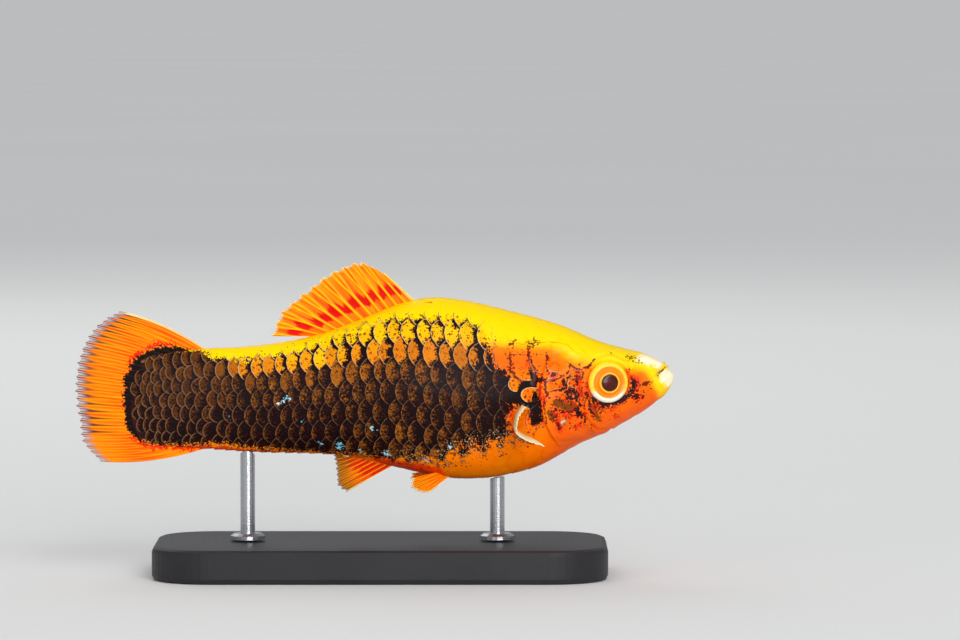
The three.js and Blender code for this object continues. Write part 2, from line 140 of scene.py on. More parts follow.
# The head's landmarks on one side, as (behind, above)
GILL_ARC = (7.5, -2.2)
GILL_ARC_RADIUS = 12.7
EYE_PLACE = (9.95, -0.55)
EYE_OUT = 4.3
EYE_RADIUS = 3.07
EYE_BULGE = 1.2
EYE_DEPTH = 2.0
EYE_TURN = math.radians(13)
MOUTH_FRONT = (1.25, 1.6)
MOUTH_CORNER = (2.75, 0.45)
NOSTRILS = ((5.9, 1.35, 0.36), (6.9, 2.6, 0.3))
PREOPERCLE = ((14.5, 0.6), (14.2, -1.6), (14.1, -3.3), (13.3, -6.0), (11.6, -7.7), (9.2, -7.9))
COVER_SEAM = ((14.6, -5.6), (16.6, -6.9), (19.3, -7.9))
THROAT_FOLDS = (
    ((18.6, -9.7), (15.6, -9.3), (12.4, -8.6), (9.6, -7.4)),
    ((17.4, -10.7), (14.8, -9.9), (11.8, -9.0), (8.6, -7.5)),
)
JAW_FOLD = ((2.75, 0.45), (3.5, -0.7), (3.9, -2.0))
# Ridges and grooves of the head in millimetres, as (height, place, width) across a line or a rim
MOUTH_GROOVE = ((-0.5, 0, 0.12),)
LIP_RIDGES = ((0.2, 0.38, 0.2), (-0.1, 0.85, 0.16), (0.22, -0.42, 0.24), (-0.07, -1.0, 0.2))
EYE_RIM_RIDGES = ((0.3, 0.42, 0.3), (-0.07, 1.1, 0.22))
BROW_RIDGE = ((0.16, 1.0, 0.8),)
CHEEK_EDGE = ((0.1, 0.4, 0.3),)
COVER_EDGE = ((0.12, -0.3, 0.22), (-0.25, 0.3, 0.3))
HEAD_FOLDS = ((PREOPERCLE, 0.15, 0.16), (COVER_SEAM, 0.1, 0.14), (JAW_FOLD, 0.08, 0.15))
THROAT_FOLD = ((-0.1, 0, 0.15),)
NOSTRIL_RIM, NOSTRIL_PIT = 0.09, 0.42
SOCKET_DEPTH = 1.9
COVER_RAISED = 0.16
CHEEK_REAR_EDGE = 13.9
# Long waves of the skin: turns behind and above for each millimetre, and height
SKIN_WAVES = ((1.9, 2.6, 0.035), (0.9, 1.1, 0.02))

# Smooth borders on the fish, each from its 0 to its 1, in millimetres behind the snout's tip or
# above its level
SHOULDER_FRONT, SHOULDER_REAR = (15.0, 18.5), (34.0, 29.0)
SHOULDER_FOOT, SHOULDER_TOP = (0.0, 3.0), (6.4, 4.0)
CHEEK_REAR, CHEEK_TOP = (20.0, 17.0), (1.6, -2.0)
PALE_BELLY_FRONT = (20.0, 25.0)
BARE_HEAD_REAR, BARE_ROOT_FRONT = (25.5, 21.5), (76.0, 80.0)
LOOSE_TOP, LOOSE_REAR = (-6.4, -8.8), (44.0, 38.0)
DARK_TAIL_FRONT = (62.0, 71.0)
NAPE_FRONT, NAPE_FOOT = (10.0, 17.0), (1.2, 3.4)
THROAT_FRONT, THROAT_TOP = (15.5, 21.0), (-9.6, -11.2)
BROW_FOOT = (0.6, 2.0)
COVER_FOOT, COVER_TOP = (-9.8, -8.4), (3.2, 1.4)
RELIEF_REAR = (23.5, 21.5)

# The black markings' outline on the flank and the tail root, as (behind, above)
BLACK_FLANK = (
    (82.5, -2.5), (82.3, 0.0), (81.5, 1.95), (80.5, 3.0), (78.6, 4.1), (77.1, 4.6), (74.9, 4.5),
    (72.6, 4.1), (70.4, 3.6), (68.6, 3.0), (66.9, 2.7), (62.1, 3.0), (56.1, 4.2), (51.6, 5.7),
    (47.1, 7.2), (43.35, 8.7), (41.1, 9.15),
    (35.1, 9.3), (32.1, 9.0), (29.1, 7.95), (27.9, 6.2), (27.5, 4.0), (26.9, 2.2), (25.3, 1.0),
    (24.9, 0.5), (23.4, -0.5), (22.5, -0.4), (22.35, 1.2), (21.9, 2.2), (21.3, 1.5), (20.3, 0.5),
    (19.5, 0.3), (19.6, -0.25), (20.6, -0.5), (20.5, -2.0), (19.95, -3.4), (19.75, -5.0),
    (19.7, -6.3), (20.6, -6.9), (21.6, -6.8), (21.9, -5.4), (21.6, -4.4), (22.8, -3.8),
    (24.3, -3.8), (24.95, -4.6), (25.05, -6.5), (24.6, -8.0), (26.2, -10.6), (27.2, -8.9),
    (29.0, -11.2), (30.0, -9.6), (31.4, -11.9), (32.6, -10.6), (34.4, -12.6), (36.0, -12.3),
    (38.1, -12.5), (41.1, -12.3), (44.1, -11.9), (50.1, -11.6), (56.1, -11.1), (63.6, -10.65),
    (68.25, -9.9), (74.1, -10.3), (77.9, -10.15), (80.1, -9.7), (81.6, -8.5), (82.3, -7.0),
    (82.5, -4.8),
)
# The head's markings, each a stroke of a half width along (behind, above) points
HEAD_BLACK = (
    (0.5, (6.22, -0.6), (6.3, -1.5)),
    (0.46, (6.3, -1.65), (6.75, -2.4), (7.95, -3.07)),
    (0.3, (6.6, -2.55), (5.55, -2.77)),
    (0.48, (8.1, -3.15), (9.45, -3.6), (10.65, -3.82)),
    (0.36, (10.65, -3.6), (11.55, -3.15), (12.45, -2.92)),
    (0.36, (14.92, 0.75)),
    (0.39, (16.72, -0.15), (16.35, -0.9)),
    (0.15, (17.58, -0.6), (17.34, -0.99)),
    (0.24, (16.05, 0.22), (15.45, -0.22), (14.7, -0.53)),
    (0.42, (16.95, -1.57), (16.05, -1.8), (15, -1.57)),
    (0.45, (15.9, -2.55), (15.6, -2.85)),
    (0.4, (14.85, -1.95), (14.55, -3.15)),
    (0.28, (14.55, -3.15), (14.1, -4.2)),
    (0.22, (12.6, -3.1), (12.9, -4.4), (12.2, -5.2)),
    (0.2, (11.2, -4.6), (10.4, -5.0)),
    (0.2, (17.9, -4.3), (16.9, -4.75)),
    (0.22, (18.6, 1.2), (18.1, 0.8)),
    (0.45, (14.55, -4.5), (14.4, -5.25)),
    (0.2, (13.95, -5.25), (13.65, -5.85), (13.35, -6.38)),
    (0.33, (13.12, -2.32)),
    (0.24, (23.7, -9), (22.65, -9.15)),
    (0.14, (26.7, 6.3)),
)
HEAD_LINES = (
    (0.05, (1.35, 1.6), (2.2, 0.95)),
    (0.07, (2.2, 0.95), (2.5, 0.5), (2.4, 0.0)),
    (0.3, (4.58, -0.82), (4.2, -0.75)),
    (0.2, (3.82, -0.53)),
    (0.15, (3.38, -0.75)),
    (0.15, (3.6, -1.5)),
    (0.15, (4.8, -2.92), (4.58, -2.55)),
    (0.24, (5.55, -0.6)),
    (0.14, (6.9, 1.27)),
    (0.14, (11.03, -5.1)),
    (0.14, (15.9, 2.55), (15.3, 1.95), (14.7, 1.5), (13.95, 1.43), (13.2, 1.8), (12.45, 2.4), (12, 2.92)),
    (
        0.12, (18.75, 3.15), (19.2, 2.55), (19.2, 1.65), (18.82, 0.97),
        (18, 0.6), (16.95, 0.53), (16.2, 0.82), (15.75, 1.35), (15.75, 2.1),
    ),
    (0.14, (15.75, 0.75), (15.22, 0.07), (14.55, -0.07), (14.1, 0.45)),
    (0.15, (17.1, 0.3), (16.2, 0.45), (15.6, -0.07)),
    (0.15, (19.2, 0.15), (18.75, -0.15), (18.15, -0.24), (17.55, 0.07), (17.1, 0.3)),
    (0.14, (19.41, 0), (19.35, -0.9), (19.35, -1.95)),
    (0.14, (19.35, -1.95), (18.6, -1.89), (17.85, -1.65), (17.1, -1.43), (16.35, -1.27), (15.3, -1.05)),
    (0.17, (19.2, -2.25), (18.6, -2.77)),
    (0.12, (18.45, -3.6), (17.7, -4.35), (16.8, -4.8), (15.6, -4.95), (14.55, -4.35)),
    (0.18, (13.05, 1.65), (12.6, 1.95)),
    (0.14, (13.65, 1.05), (13.95, 0.15)),
    (0.12, (19.56, -3), (19.43, -4.8), (19.2, -6.45)),
    (0.21, (17.55, -6.45), (17.25, -7.35)),
    (0.15, (15.6, -7.35)),
    (0.12, (18.15, -5.7), (17.55, -5.25)),
    (0.15, (19.35, 4.12), (19.2, 3.3), (18.75, 2.7)),
    (0.15, (23.93, 6.08), (24.22, 5.25), (24.45, 4.35)),
    (0.12, (20.85, 6.3), (21.45, 5.4), (22.05, 4.8), (22.05, 3.3)),
    (0.12, (25.35, 6), (24.75, 5.25)),
    (0.14, (23.55, 4.35), (23.1, 3.75)),
    (0.14, (17.1, 3.3)),
    (0.12, (16.43, 1.95)),
    (0.12, (17.55, 1.05)),
    (0.18, (26.55, 6.3), (27.3, 4.5), (27.0, 2.7), (26.1, 1.5), (25.05, 0.9)),
    (0.19, (24.45, 5.25), (24.6, 3.15), (24.6, 1.8), (24.0, 0.6), (22.65, -0.45)),
    (0.19, (21.75, 5.25), (21.75, 3.9), (21.45, 2.4), (20.7, 1.2)),
    (0.13, (24.75, 0.45), (24.75, -1.05), (24.0, -1.95), (23.25, -2.25)),
    (0.13, (22.8, -1.05), (22.5, -2.1), (21.45, -3.0)),
    (0.1, (19.9, 6.2), (20.4, 5.5), (21.2, 5.3)),
    (0.1, (23.1, 6.6), (23.7, 5.9)),
)
RED_STROKES = (
    (0.39, (6.83, 0.9), (6.3, 0)),
    (0.24, (6.9, -2.1), (6, -2.25)),
    (0.24, (5.7, -0.3), (5.7, -1.5)),
    (0.28, (14.32, -1.65), (14.03, -2.85), (13.65, -4.2), (13.35, -5.1)),
    (0.15, (13.5, -0.6), (12.9, -1.95), (12.15, -2.85)),
    (0.34, (20.77, -0.45), (20.18, -1.5), (19.88, -2.7)),
    (0.17, (19.72, -3), (19.65, -4.8)),
    (0.27, (14.1, -0.75), (14.4, -0.15)),
    (0.24, (18.75, 0.07), (17.85, 0.15)),
    (0.33, (18.45, -5.7), (17.7, -5.1)),
    (0.38, (17.55, -6.15), (17.25, -7.35)),
    (0.24, (16.5, -5.1), (15.75, -5.7)),
    (0.24, (15.3, -7.35), (14.4, -6.9)),
    (0.27, (10.65, -4.65), (9.9, -4.5), (8.85, -4.2)),
    (0.18, (9.45, -6.15), (8.7, -5.85)),
    (0.24, (13.65, 1.35), (12.9, 1.8)),
    (0.21, (22.35, 4.5), (22.2, 3.45)),
    (0.5, (24.6, -3.9), (24.8, -5.25), (24.5, -6.45), (24.1, -7.5), (22.8, -8.3)),
    (0.22, (24, -8.4), (21.6, -9.45)),
    (1.0, (44.2, -12.6), (39.6, -13.4), (35.4, -14.3)),
    (0.5, (70.05, -10.7), (63.6, -11.4), (56.1, -11.7), (49.35, -12.3)),
    (0.34, (82.2, 0.6), (81.5, 2.1), (80.6, 3.2), (78.7, 4.4), (77.1, 4.95), (74.9, 4.85)),
    (0.36, (81.6, -8.9), (80.2, -10.0), (77.8, -10.6), (70.05, -10.75)),
)
OLIVE_STROKES = (
    (0.85, (17.7, -3.6), (16.65, -3.97), (15.15, -4.05)),
    (0.6, (18.75, -4.95), (18.3, -5.6)),
    (0.62, (12.6, -3.97), (11.7, -4.95), (11.55, -5.9)),
    (0.4, (14.0, -2.2), (13.4, -3.6)),
    (0.39, (16.57, -6.45)),
    (0.22, (7.05, 3), (6.45, 2.85)),
    (0.15, (9.6, 3.67)),
    (0.15, (2.17, 0.97), (2.48, 0.22)),
    (0.12, (7.42, 2.55)),
)
SPECKLED = (
    (0.6, (25.1, 4.2), (25.2, 2.2)), (0.5, (22.6, 4.4), (22.4, 2.8)), (0.6, (23.4, 2.0), (22.9, 0.7)),
    (0.45, (20.8, 1.4), (19.8, 0.8)), (0.55, (19.3, 3.4), (18.7, 1.8)), (0.4, (15.9, 2.4), (14.8, 1.2)),
    (0.45, (13.6, 1.4), (12.8, 1.6)), (0.6, (17.6, -6.2), (15.0, -6.8)),
    (0.5, (12.6, -4.2), (11.4, -6.0)), (0.7, (24.2, -8.9), (22.0, -9.4)), (0.5, (18.2, -3.2), (15.8, -4.9)),
    (0.7, (24.5, 5.4), (23.9, 1.0)), (0.7, (21.7, 5.2), (20.4, 0.8)), (0.8, (18.9, 3.6), (17.4, 1.6)),
    (1.1, (16.6, -3.4), (13.2, -4.4)), (0.9, (18.6, -5.6), (14.4, -6.4)), (1.0, (13.6, -1.4), (12.6, -4.4)),
    (0.8, (12.6, -4.4), (9.2, -5.0)), (0.7, (6.0, 0.2), (5.3, -2.9)), (0.4, (3.3, -0.8), (5.0, -2.8)),
    (0.6, (16.2, 3.0), (13.0, 2.0)), (0.9, (18.8, -0.4), (14.2, -0.4)), (0.5, (6.6, 3.2), (5.2, 2.6)),
    (0.5, (15.8, -7.2), (12.6, -6.9)), (1.0, (17.6, -2.6), (15.2, -1.8)), (0.8, (17.4, -4.6), (15.0, -5.0)),
    (0.7, (24.2, -7.9), (22.2, -8.8)),
)
# Cream of the jaw and the snout; the last three small dots are painted glints on the head
CREAM_AND_GLINT_STROKES = (
    (0.87, (1.5, 0.3), (0.9, 0.45)),
    (0.67, (0.45, 0.15), (0.6, -0.75)),
    (0.63, (4.8, 2.85), (3.3, 2.55), (2.4, 2.1)),
    (0.13, (12.6, -3.45)),
    (0.13, (16.65, -6.35)),
    (0.12, (18.97, 0)),
)
# Blue and white glints low on the flank
GLINTS = (
    (0.34, (57.9, -2.9), (57.7, -3.1)),
    (0.3, (59.4, -3.6), (59.2, -3.8)),
    (0.5, (50.4, -9.8), (49.9, -10.4)),
    (0.34, (45.2, -7.2), (44.8, -7.6)),
    (0.4, (43.2, -11.0), (42.9, -11.3)),
    (0.34, (37.4, -12.0), (36.9, -12.2)),
    (0.24, (55.9, -6.4), (55.8, -6.4)),
    (0.22, (66.6, -5.7), (66.5, -5.7)),
    (0.24, (47.4, -10.9), (46.8, -11.0)),
    (0.24, (53.2, -9.6), (52.8, -9.9)),
    (0.22, (40.2, -11.6), (39.9, -11.8)),
    (0.26, (33.9, -10.0), (33.4, -10.2)),
    (0.22, (30.2, -9.6), (29.9, -9.7)),
    (0.2, (72.4, -4.0), (72.3, -4.0)),
)
STROKES = {
    "black": HEAD_BLACK, "lines": HEAD_LINES, "red": RED_STROKES, "olive": OLIVE_STROKES,
    "speckled": SPECKLED, "cream": CREAM_AND_GLINT_STROKES, "glint": GLINTS,
}


def end_rounding(behind):
    """How far the body has reached its full section, near its two ends."""
    near = np.minimum(behind / SNOUT_ROUNDING, (FLESH_LENGTH - behind) / TAIL_ROUNDING)
    return np.sqrt(np.maximum(1 - (1 - np.clip(near, 0, 1)) ** 2, 0))


def skin_point(behind, angle, grown=0.0):
    """Where the body's surface lies, grown outwards. The angle is 0 on the left side, a quarter on
    the back. Returns behind, above and out."""
    behind = np.asarray(behind, float)
    top, bottom = back_line(behind), belly_line(behind)
    middle = bottom + widest_place_line(behind) * (top - bottom)
    cos, sin = np.cos(angle), np.sin(angle)
    upper = sin > 0
    squareness = np.where(upper, upper_squareness_line(behind), lower_squareness_line(behind))
    across = np.sign(cos) * np.abs(cos) ** (2 / squareness)
    up = np.sign(sin) * np.abs(sin) ** (2 / squareness)
    reach = np.where(upper, top - middle, middle - bottom)
    rounding = end_rounding(behind)
    towards_end = np.where(behind < MIDDLE_LENGTH, -1, 1)
    above = middle + up * (reach + grown) * rounding
    out = across * (half_width_line(behind) + grown) * rounding
    return behind + grown * (1 - rounding) * towards_end, above, out


def in_metres(behind, above, out):
    """Places of the fish as points of the frame, in metres."""
    return np.stack([SNOUT_X - behind, out, SNOUT_Z + above], -1) * MM


def line_distance(behind, above, points):
    """How far places lie from a chain of straight lines through points."""
    nearest = np.full(np.shape(behind), np.inf)
    for (b0, a0), (b1, a1) in zip(points, points[1:]):
        run, rise = b1 - b0, a1 - a0
        share = ((behind - b0) * run + (above - a0) * rise) / max(run * run + rise * rise, 1e-9)
        share = np.clip(share, 0, 1)
        nearest = np.minimum(nearest, np.hypot(behind - b0 - share * run, above - a0 - share * rise))
    return nearest


def strokes(behind, above, marks):
    """Millimetres inside the nearest stroke, below 0 outside."""
    best = np.full(np.shape(behind), -np.inf)
    for half, *points in marks:
        chain = points if len(points) > 1 else points * 2
        best = np.maximum(best, half - line_distance(behind, above, chain))
    return best


def inside_outline(behind, above, outline):
    """Millimetres inside a closed outline, below 0 outside."""
    closed = (*outline, outline[0])
    crossings = np.zeros(np.shape(behind), int)
    for (b0, a0), (b1, a1) in zip(closed, closed[1:]):
        if a0 == a1:
            continue
        spans = (a0 > above) != (a1 > above)
        crossings += spans & (behind < b0 + (above - a0) / (a1 - a0) * (b1 - b0))
    return line_distance(behind, above, closed) * np.where(crossings % 2, 1, -1)


# How far down the side the yellow of the back reaches
yellow_share_line = smooth_line(
    (0, 1.3), (2, 0.95), (3, 0.52), (4.3, 0.24), (6, 0.16), (10, 0.12), (16, 0.11), (30, 0.13),
    (82, 0.13),
)


def warmth(behind, above):
    """0 where the fish is yellow, on its back, to 1 where it is deep orange, low on its side."""
    top, bottom = back_line(behind), belly_line(behind)
    depth = np.clip((top - above) / (top - bottom), 0, 1)
    yellow = yellow_share_line(behind)
    side = smooth_step(0.5 * yellow, 1.6 * yellow + 0.16, depth)
    shoulder = band(SHOULDER_FRONT, SHOULDER_REAR, behind) * band(SHOULDER_FOOT, SHOULDER_TOP, above)
    cheek = smooth_step(*CHEEK_REAR, behind) * smooth_step(*CHEEK_TOP, above)
    snout = bump(behind - 4.6, 1.6) * bump(above - 0.6, 1.1)
    belly = smooth_step(0.74, 1.0, depth) * smooth_step(*PALE_BELLY_FRONT, behind)
    return 0.66 * side + 0.15 * depth**3 + 0.3 * shoulder + 0.15 * cheek + 0.22 * snout - 0.16 * belly


def markings(behind, above):
    """The coat's markings at places of the fish, by attribute name: millimetres inside a stroke,
    below 0 outside, and shares from 0 to 1 for the others."""
    marks = {name: strokes(behind, above, rows) for name, rows in STROKES.items()}
    marks["black"] = np.maximum(inside_outline(behind, above, BLACK_FLANK), marks["black"])
    marks["warm"] = warmth(behind, above)
    marks["bare"] = smooth_step(*BARE_HEAD_REAR, behind) + smooth_step(*BARE_ROOT_FRONT, behind)
    marks["loose"] = smooth_step(*LOOSE_TOP, above) * smooth_step(*LOOSE_REAR, behind)
    marks["tail"] = smooth_step(*DARK_TAIL_FRONT, behind)
    return marks


def behind_gill_edge(behind, above):
    """Millimetres behind the rear edge of the gill cover, below 0 on the head."""
    return np.hypot(behind - GILL_ARC[0], above - GILL_ARC[1]) - GILL_ARC_RADIUS


def coat_share(behind, above, at_gill=None):
    """How much of the coat's depth the skin lies inside the solids: none on the bare head."""
    if at_gill is None:
        at_gill = smooth_step(0.0, 0.25, behind_gill_edge(behind, above))
    on_nape, under_throat = smooth_step(*NAPE_FRONT, behind), smooth_step(*THROAT_FRONT, behind)
    share = at_gill + (on_nape - at_gill) * smooth_step(*NAPE_FOOT, above)
    return share + (under_throat - share) * smooth_step(*THROAT_TOP, above)


def head_relief(behind, above):
    """Height of the head's forms over its plain surface, in millimetres."""
    run, rise = MOUTH_CORNER[0] - MOUTH_FRONT[0], MOUTH_CORNER[1] - MOUTH_FRONT[1]
    gape = math.hypot(run, rise)
    from_front = (behind - MOUTH_FRONT[0], above - MOUTH_FRONT[1])
    along = (from_front[0] * run + from_front[1] * rise) / gape - gape
    over = (from_front[1] * run - from_front[0] * rise) / gape
    relief = ridges(over, MOUTH_GROOVE) * smooth_step(0.35, -0.3, along)
    relief += ridges(over, LIP_RIDGES) * smooth_step(0.8, -0.2, along)
    for nostril_behind, nostril_above, radius in NOSTRILS:
        away = np.hypot(behind - nostril_behind, above - nostril_above)
        relief += ridges(away, ((NOSTRIL_RIM, 1.15 * radius, 0.13), (-NOSTRIL_PIT, 0, 0.62 * radius)))
    from_rim = np.hypot(behind - EYE_PLACE[0], above - EYE_PLACE[1]) - EYE_RADIUS
    relief -= SOCKET_DEPTH * smooth_step(0.12, -0.25, from_rim)
    relief += ridges(from_rim, EYE_RIM_RIDGES)
    relief += ridges(from_rim, BROW_RIDGE) * smooth_step(*BROW_FOOT, above)
    for fold, depth, width in HEAD_FOLDS:
        relief -= depth * bump(line_distance(behind, above, fold), width)
    on_cheek = smooth_step(CHEEK_REAR_EDGE + 0.35, CHEEK_REAR_EDGE, behind)
    relief += ridges(line_distance(behind, above, PREOPERCLE), CHEEK_EDGE) * on_cheek
    on_side = smooth_step(0.2, 1.4, above - belly_line(behind))
    for fold in THROAT_FOLDS:
        relief += on_side * ridges(line_distance(behind, above, fold), THROAT_FOLD)
    edge = behind_gill_edge(behind, above)
    cover = COVER_RAISED * band((-5.0, -2.5), (0.1, -0.1), edge) + ridges(edge, COVER_EDGE)
    relief += cover * band(COVER_FOOT, COVER_TOP, above)
    for turn_behind, turn_above, height in SKIN_WAVES:
        relief += height * np.sin(behind * turn_behind + 1.7 * np.sin(above * turn_above))
    return relief * smooth_step(*RELIEF_REAR, behind)


# Where the flank's places lie, by millimetres round the body from its widest line
TABLE_STEP = 0.5
table_behind = np.arange(0, FLESH_LENGTH + TABLE_STEP / 2, TABLE_STEP)
table_angle = np.linspace(0, QUARTER, 91)
table_share = np.linspace(0, 1, 121)


def arc_tables(way):
    """Arc lengths from the widest line to the back (way 1) or the belly (way -1), and the angle at
    each share of them."""
    lengths, angles = [], []
    for behind in table_behind:
        _, above, out = skin_point(np.full(table_angle.shape, behind), way * table_angle)
        steps = np.hypot(np.diff(above), np.diff(out))
        arc = np.concatenate([[0], np.cumsum(steps)])
        lengths.append(arc[-1])
        angles.append(np.interp(table_share * arc[-1], arc + 1e-9 * table_angle, table_angle))
    return np.array(lengths), np.array(angles)


ARC_UP, ANGLES_UP = arc_tables(1)
ARC_DOWN, ANGLES_DOWN = arc_tables(-1)


def flank_point(behind, rise, side, grown):
    """The body's surface at a rise round it from its widest line, in millimetres, and passing over
    the back or the belly to the other side where the rise is larger than the side."""
    behind = np.clip(behind, 0.05, FLESH_LENGTH - 0.05)
    full = np.where(
        rise > 0, np.interp(behind, table_behind, ARC_UP), np.interp(behind, table_behind, ARC_DOWN)
    )
    share = np.abs(rise) / full
    over = share > 1
    share = np.clip(np.where(over, 2 - share, share), 0, 1)
    row = np.clip((behind / TABLE_STEP).astype(int), 0, len(table_behind) - 2)
    blend = behind / TABLE_STEP - row
    column = share * (len(table_share) - 1)
    low = np.clip(column.astype(int), 0, len(table_share) - 2)
    part = column - low

    def read(table):
        near = table[row, low] + (table[row, low + 1] - table[row, low]) * part
        far = table[row + 1, low] + (table[row + 1, low + 1] - table[row + 1, low]) * part
        return near + (far - near) * blend

    angle = np.where(rise > 0, read(ANGLES_UP), -read(ANGLES_DOWN))
    place_behind, above, out = skin_point(behind, angle, grown)
    return place_behind, above, out * side * np.where(over, -1, 1)


def display(red, green, blue):
    """A colour given as a screen shows it, 0 to 255, in linear light."""
    shares = (channel / 255 for channel in (red, green, blue))
    return tuple(c / 12.92 if c <= 0.04045 else ((c + 0.055) / 1.055) ** 2.4 for c in shares)


def colour_property(name, description, red, green, blue):
    """A colour that a user can change, with its default as a screen shows it."""
    return bpy.props.FloatVectorProperty(
        name=name, description=description, subtype="COLOR", min=0, max=1,
        default=display(red, green, blue),
    )


def size_property(name, description, default, low, high):
    """A small size that a user can change, in metres."""
    return bpy.props.FloatProperty(
        name=name, description=description, default=default, min=low, max=high,
        unit="LENGTH", precision=5,
    )


class SwordtailCoat(bpy.types.PropertyGroup):
    """Sizes and colours of the skin and the scales."""

    depth: size_property(
        "Coat depth", "How far the skin lies under the scales' free edges", 0.00042, 0.0001, 0.001
    )
    thickness: size_property("Scale thickness", "Thickness of one scale", 0.00009, 0.00002, 0.0004)
    dome: size_property(
        "Scale dome", "How far the middle of a scale stands over its edge", 0.00011, 0.0, 0.0004
    )
    unevenness: bpy.props.FloatProperty(
        name="Unevenness", description="How much scales differ in size, as a share",
        default=0.05, min=0.0, max=0.2, subtype="FACTOR",
    )
    yellow: colour_property("Back", "Yellow of the back", 255, 214, 2)
    amber: colour_property("Upper side", "Amber below the back", 255, 186, 2)
    orange: colour_property("Side", "Orange of the side and head", 255, 128, 0)
    deep: colour_property("Belly", "Deep orange low on the side", 246, 84, 0)
    red: colour_property("Red", "Red of the fringes and cheek lines", 238, 34, 6)
    black: colour_property("Black", "Black of the flank", 22, 12, 13)
    maroon: colour_property("Maroon", "Maroon of lines and freckles", 92, 12, 14)
    gold: colour_property("Scale gold", "Gold of the upper flank's scales", 250, 140, 8)
    brown: colour_property("Scale brown", "Brown of the lower flank's scales", 84, 48, 20)
    # The rim colours paint a highlight where a scale's free edge catches the light; the pale rim colour
    # also colours the pale specks at the black's border
    rim: colour_property("Scale rim", "Pale rim of a scale", 226, 186, 132)
    grey_rim: colour_property("Dark scale rim", "Rim of a lower scale", 132, 92, 60)
    # The cream also paints the head's small glints and the white of the flank's glints, both painted
    # highlights
    cream: colour_property("Cream", "Cream of the lower jaw", 255, 244, 214)
    olive: colour_property("Olive", "Olive patches on the cheek", 88, 52, 4)
    glint: colour_property("Glint", "Blue glints low on the flank", 96, 196, 236)


class SwordtailFins(bpy.types.PropertyGroup):
    """Sizes and colours of the fins."""

    membrane: size_property(
        "Membrane", "Thickness of the skin between two rays", 0.00016, 0.00005, 0.0005
    )
    ray: size_property("Ray", "Thickness of a ray near its root", 0.00052, 0.0002, 0.001)
    amber: colour_property("Amber", "Amber of the rays", 255, 160, 2)
    orange: colour_property("Orange", "Orange of the membrane", 252, 88, 0)
    red: colour_property("Red", "Red blotches near the roots", 214, 8, 0)
    margin: colour_property("Margin", "Dark violet of the worn margin", 62, 44, 56)
    tip: colour_property("Tips", "Pale tips of the rays", 236, 226, 226)
    olive: colour_property("Olive", "Olive rear of the anal fin", 118, 92, 22)
    cream: colour_property("Cream", "Cream of the leading edges", 255, 240, 190)


class SwordtailEyes(bpy.types.PropertyGroup):
    """Colours of the eyes."""

    outer: colour_property("Outer ring", "Yellow of the outer ring", 255, 224, 60)
    iris: colour_property("Iris", "Orange of the iris", 250, 140, 4)
    inner: colour_property("Inner ring", "Thin ring round the pupil", 255, 186, 44)
    pupil: colour_property("Pupil", "Dark red of the pupil", 62, 12, 10)
    white: colour_property("White", "White crescent under the iris", 255, 248, 226)


class SwordtailStudio(bpy.types.PropertyGroup):
    """Stand finishes, floor, light and camera."""

    base: colour_property("Base", "Colour of the stand's base", 34, 34, 37)
    rod: colour_property("Rods", "Colour of the stand's rods", 178, 180, 184)
    floor: colour_property("Floor", "Colour of the floor", 244, 244, 242)
    distance: bpy.props.FloatProperty(
        name="Camera distance", description="From the camera to the fish",
        default=0.9, min=0.3, max=3.0, unit="LENGTH",
    )
    elevation: bpy.props.FloatProperty(
        name="Camera elevation", description="How far the camera looks down",
        default=math.radians(3.2), min=0, max=QUARTER, unit="ROTATION",
    )
    light: bpy.props.FloatProperty(
        name="Light", description="Strength of all the lamps together",
        default=1.0, min=0.1, max=5.0,
    )


class SwordtailSettings(bpy.types.PropertyGroup):
    """All settings of the model."""

    coat: bpy.props.PointerProperty(type=SwordtailCoat)
    fins: bpy.props.PointerProperty(type=SwordtailFins)
    eyes: bpy.props.PointerProperty(type=SwordtailEyes)
    studio: bpy.props.PointerProperty(type=SwordtailStudio)


ATTRIBUTE_LIMIT = 20.0


class Socket:
    """A node's number, on which Python's operators add Math nodes."""

    def __init__(self, finish, socket):
        self.finish = finish
        self.socket = socket

    def maths(self, operation, *values):
        return self.finish.node("ShaderNodeMath", {"operation": operation}, dict(enumerate(values)))

    def __add__(self, other):
        return self.maths("ADD", self, other)

    def __radd__(self, other):
        return self.maths("ADD", other, self)

    def __sub__(self, other):
        return self.maths("SUBTRACT", self, other)

    def __rsub__(self, other):
        return self.maths("SUBTRACT", other, self)

    def __mul__(self, other):
        return self.maths("MULTIPLY", self, other)

    def __pow__(self, other):
        return self.maths("POWER", self, other)

    def __abs__(self):
        return self.maths("ABSOLUTE", self)

    def at_least(self, other):
        return self.maths("MAXIMUM", self, other)

    def sine(self):
        return self.maths("SINE", self)

    def step(self, low, high):
        """0 below low, 1 above high, smooth between them."""
        settings = {"interpolation_type": "SMOOTHSTEP"}
        sockets = {"Value": self, "From Min": low, "From Max": high}
        return self.finish.node("ShaderNodeMapRange", settings, sockets)


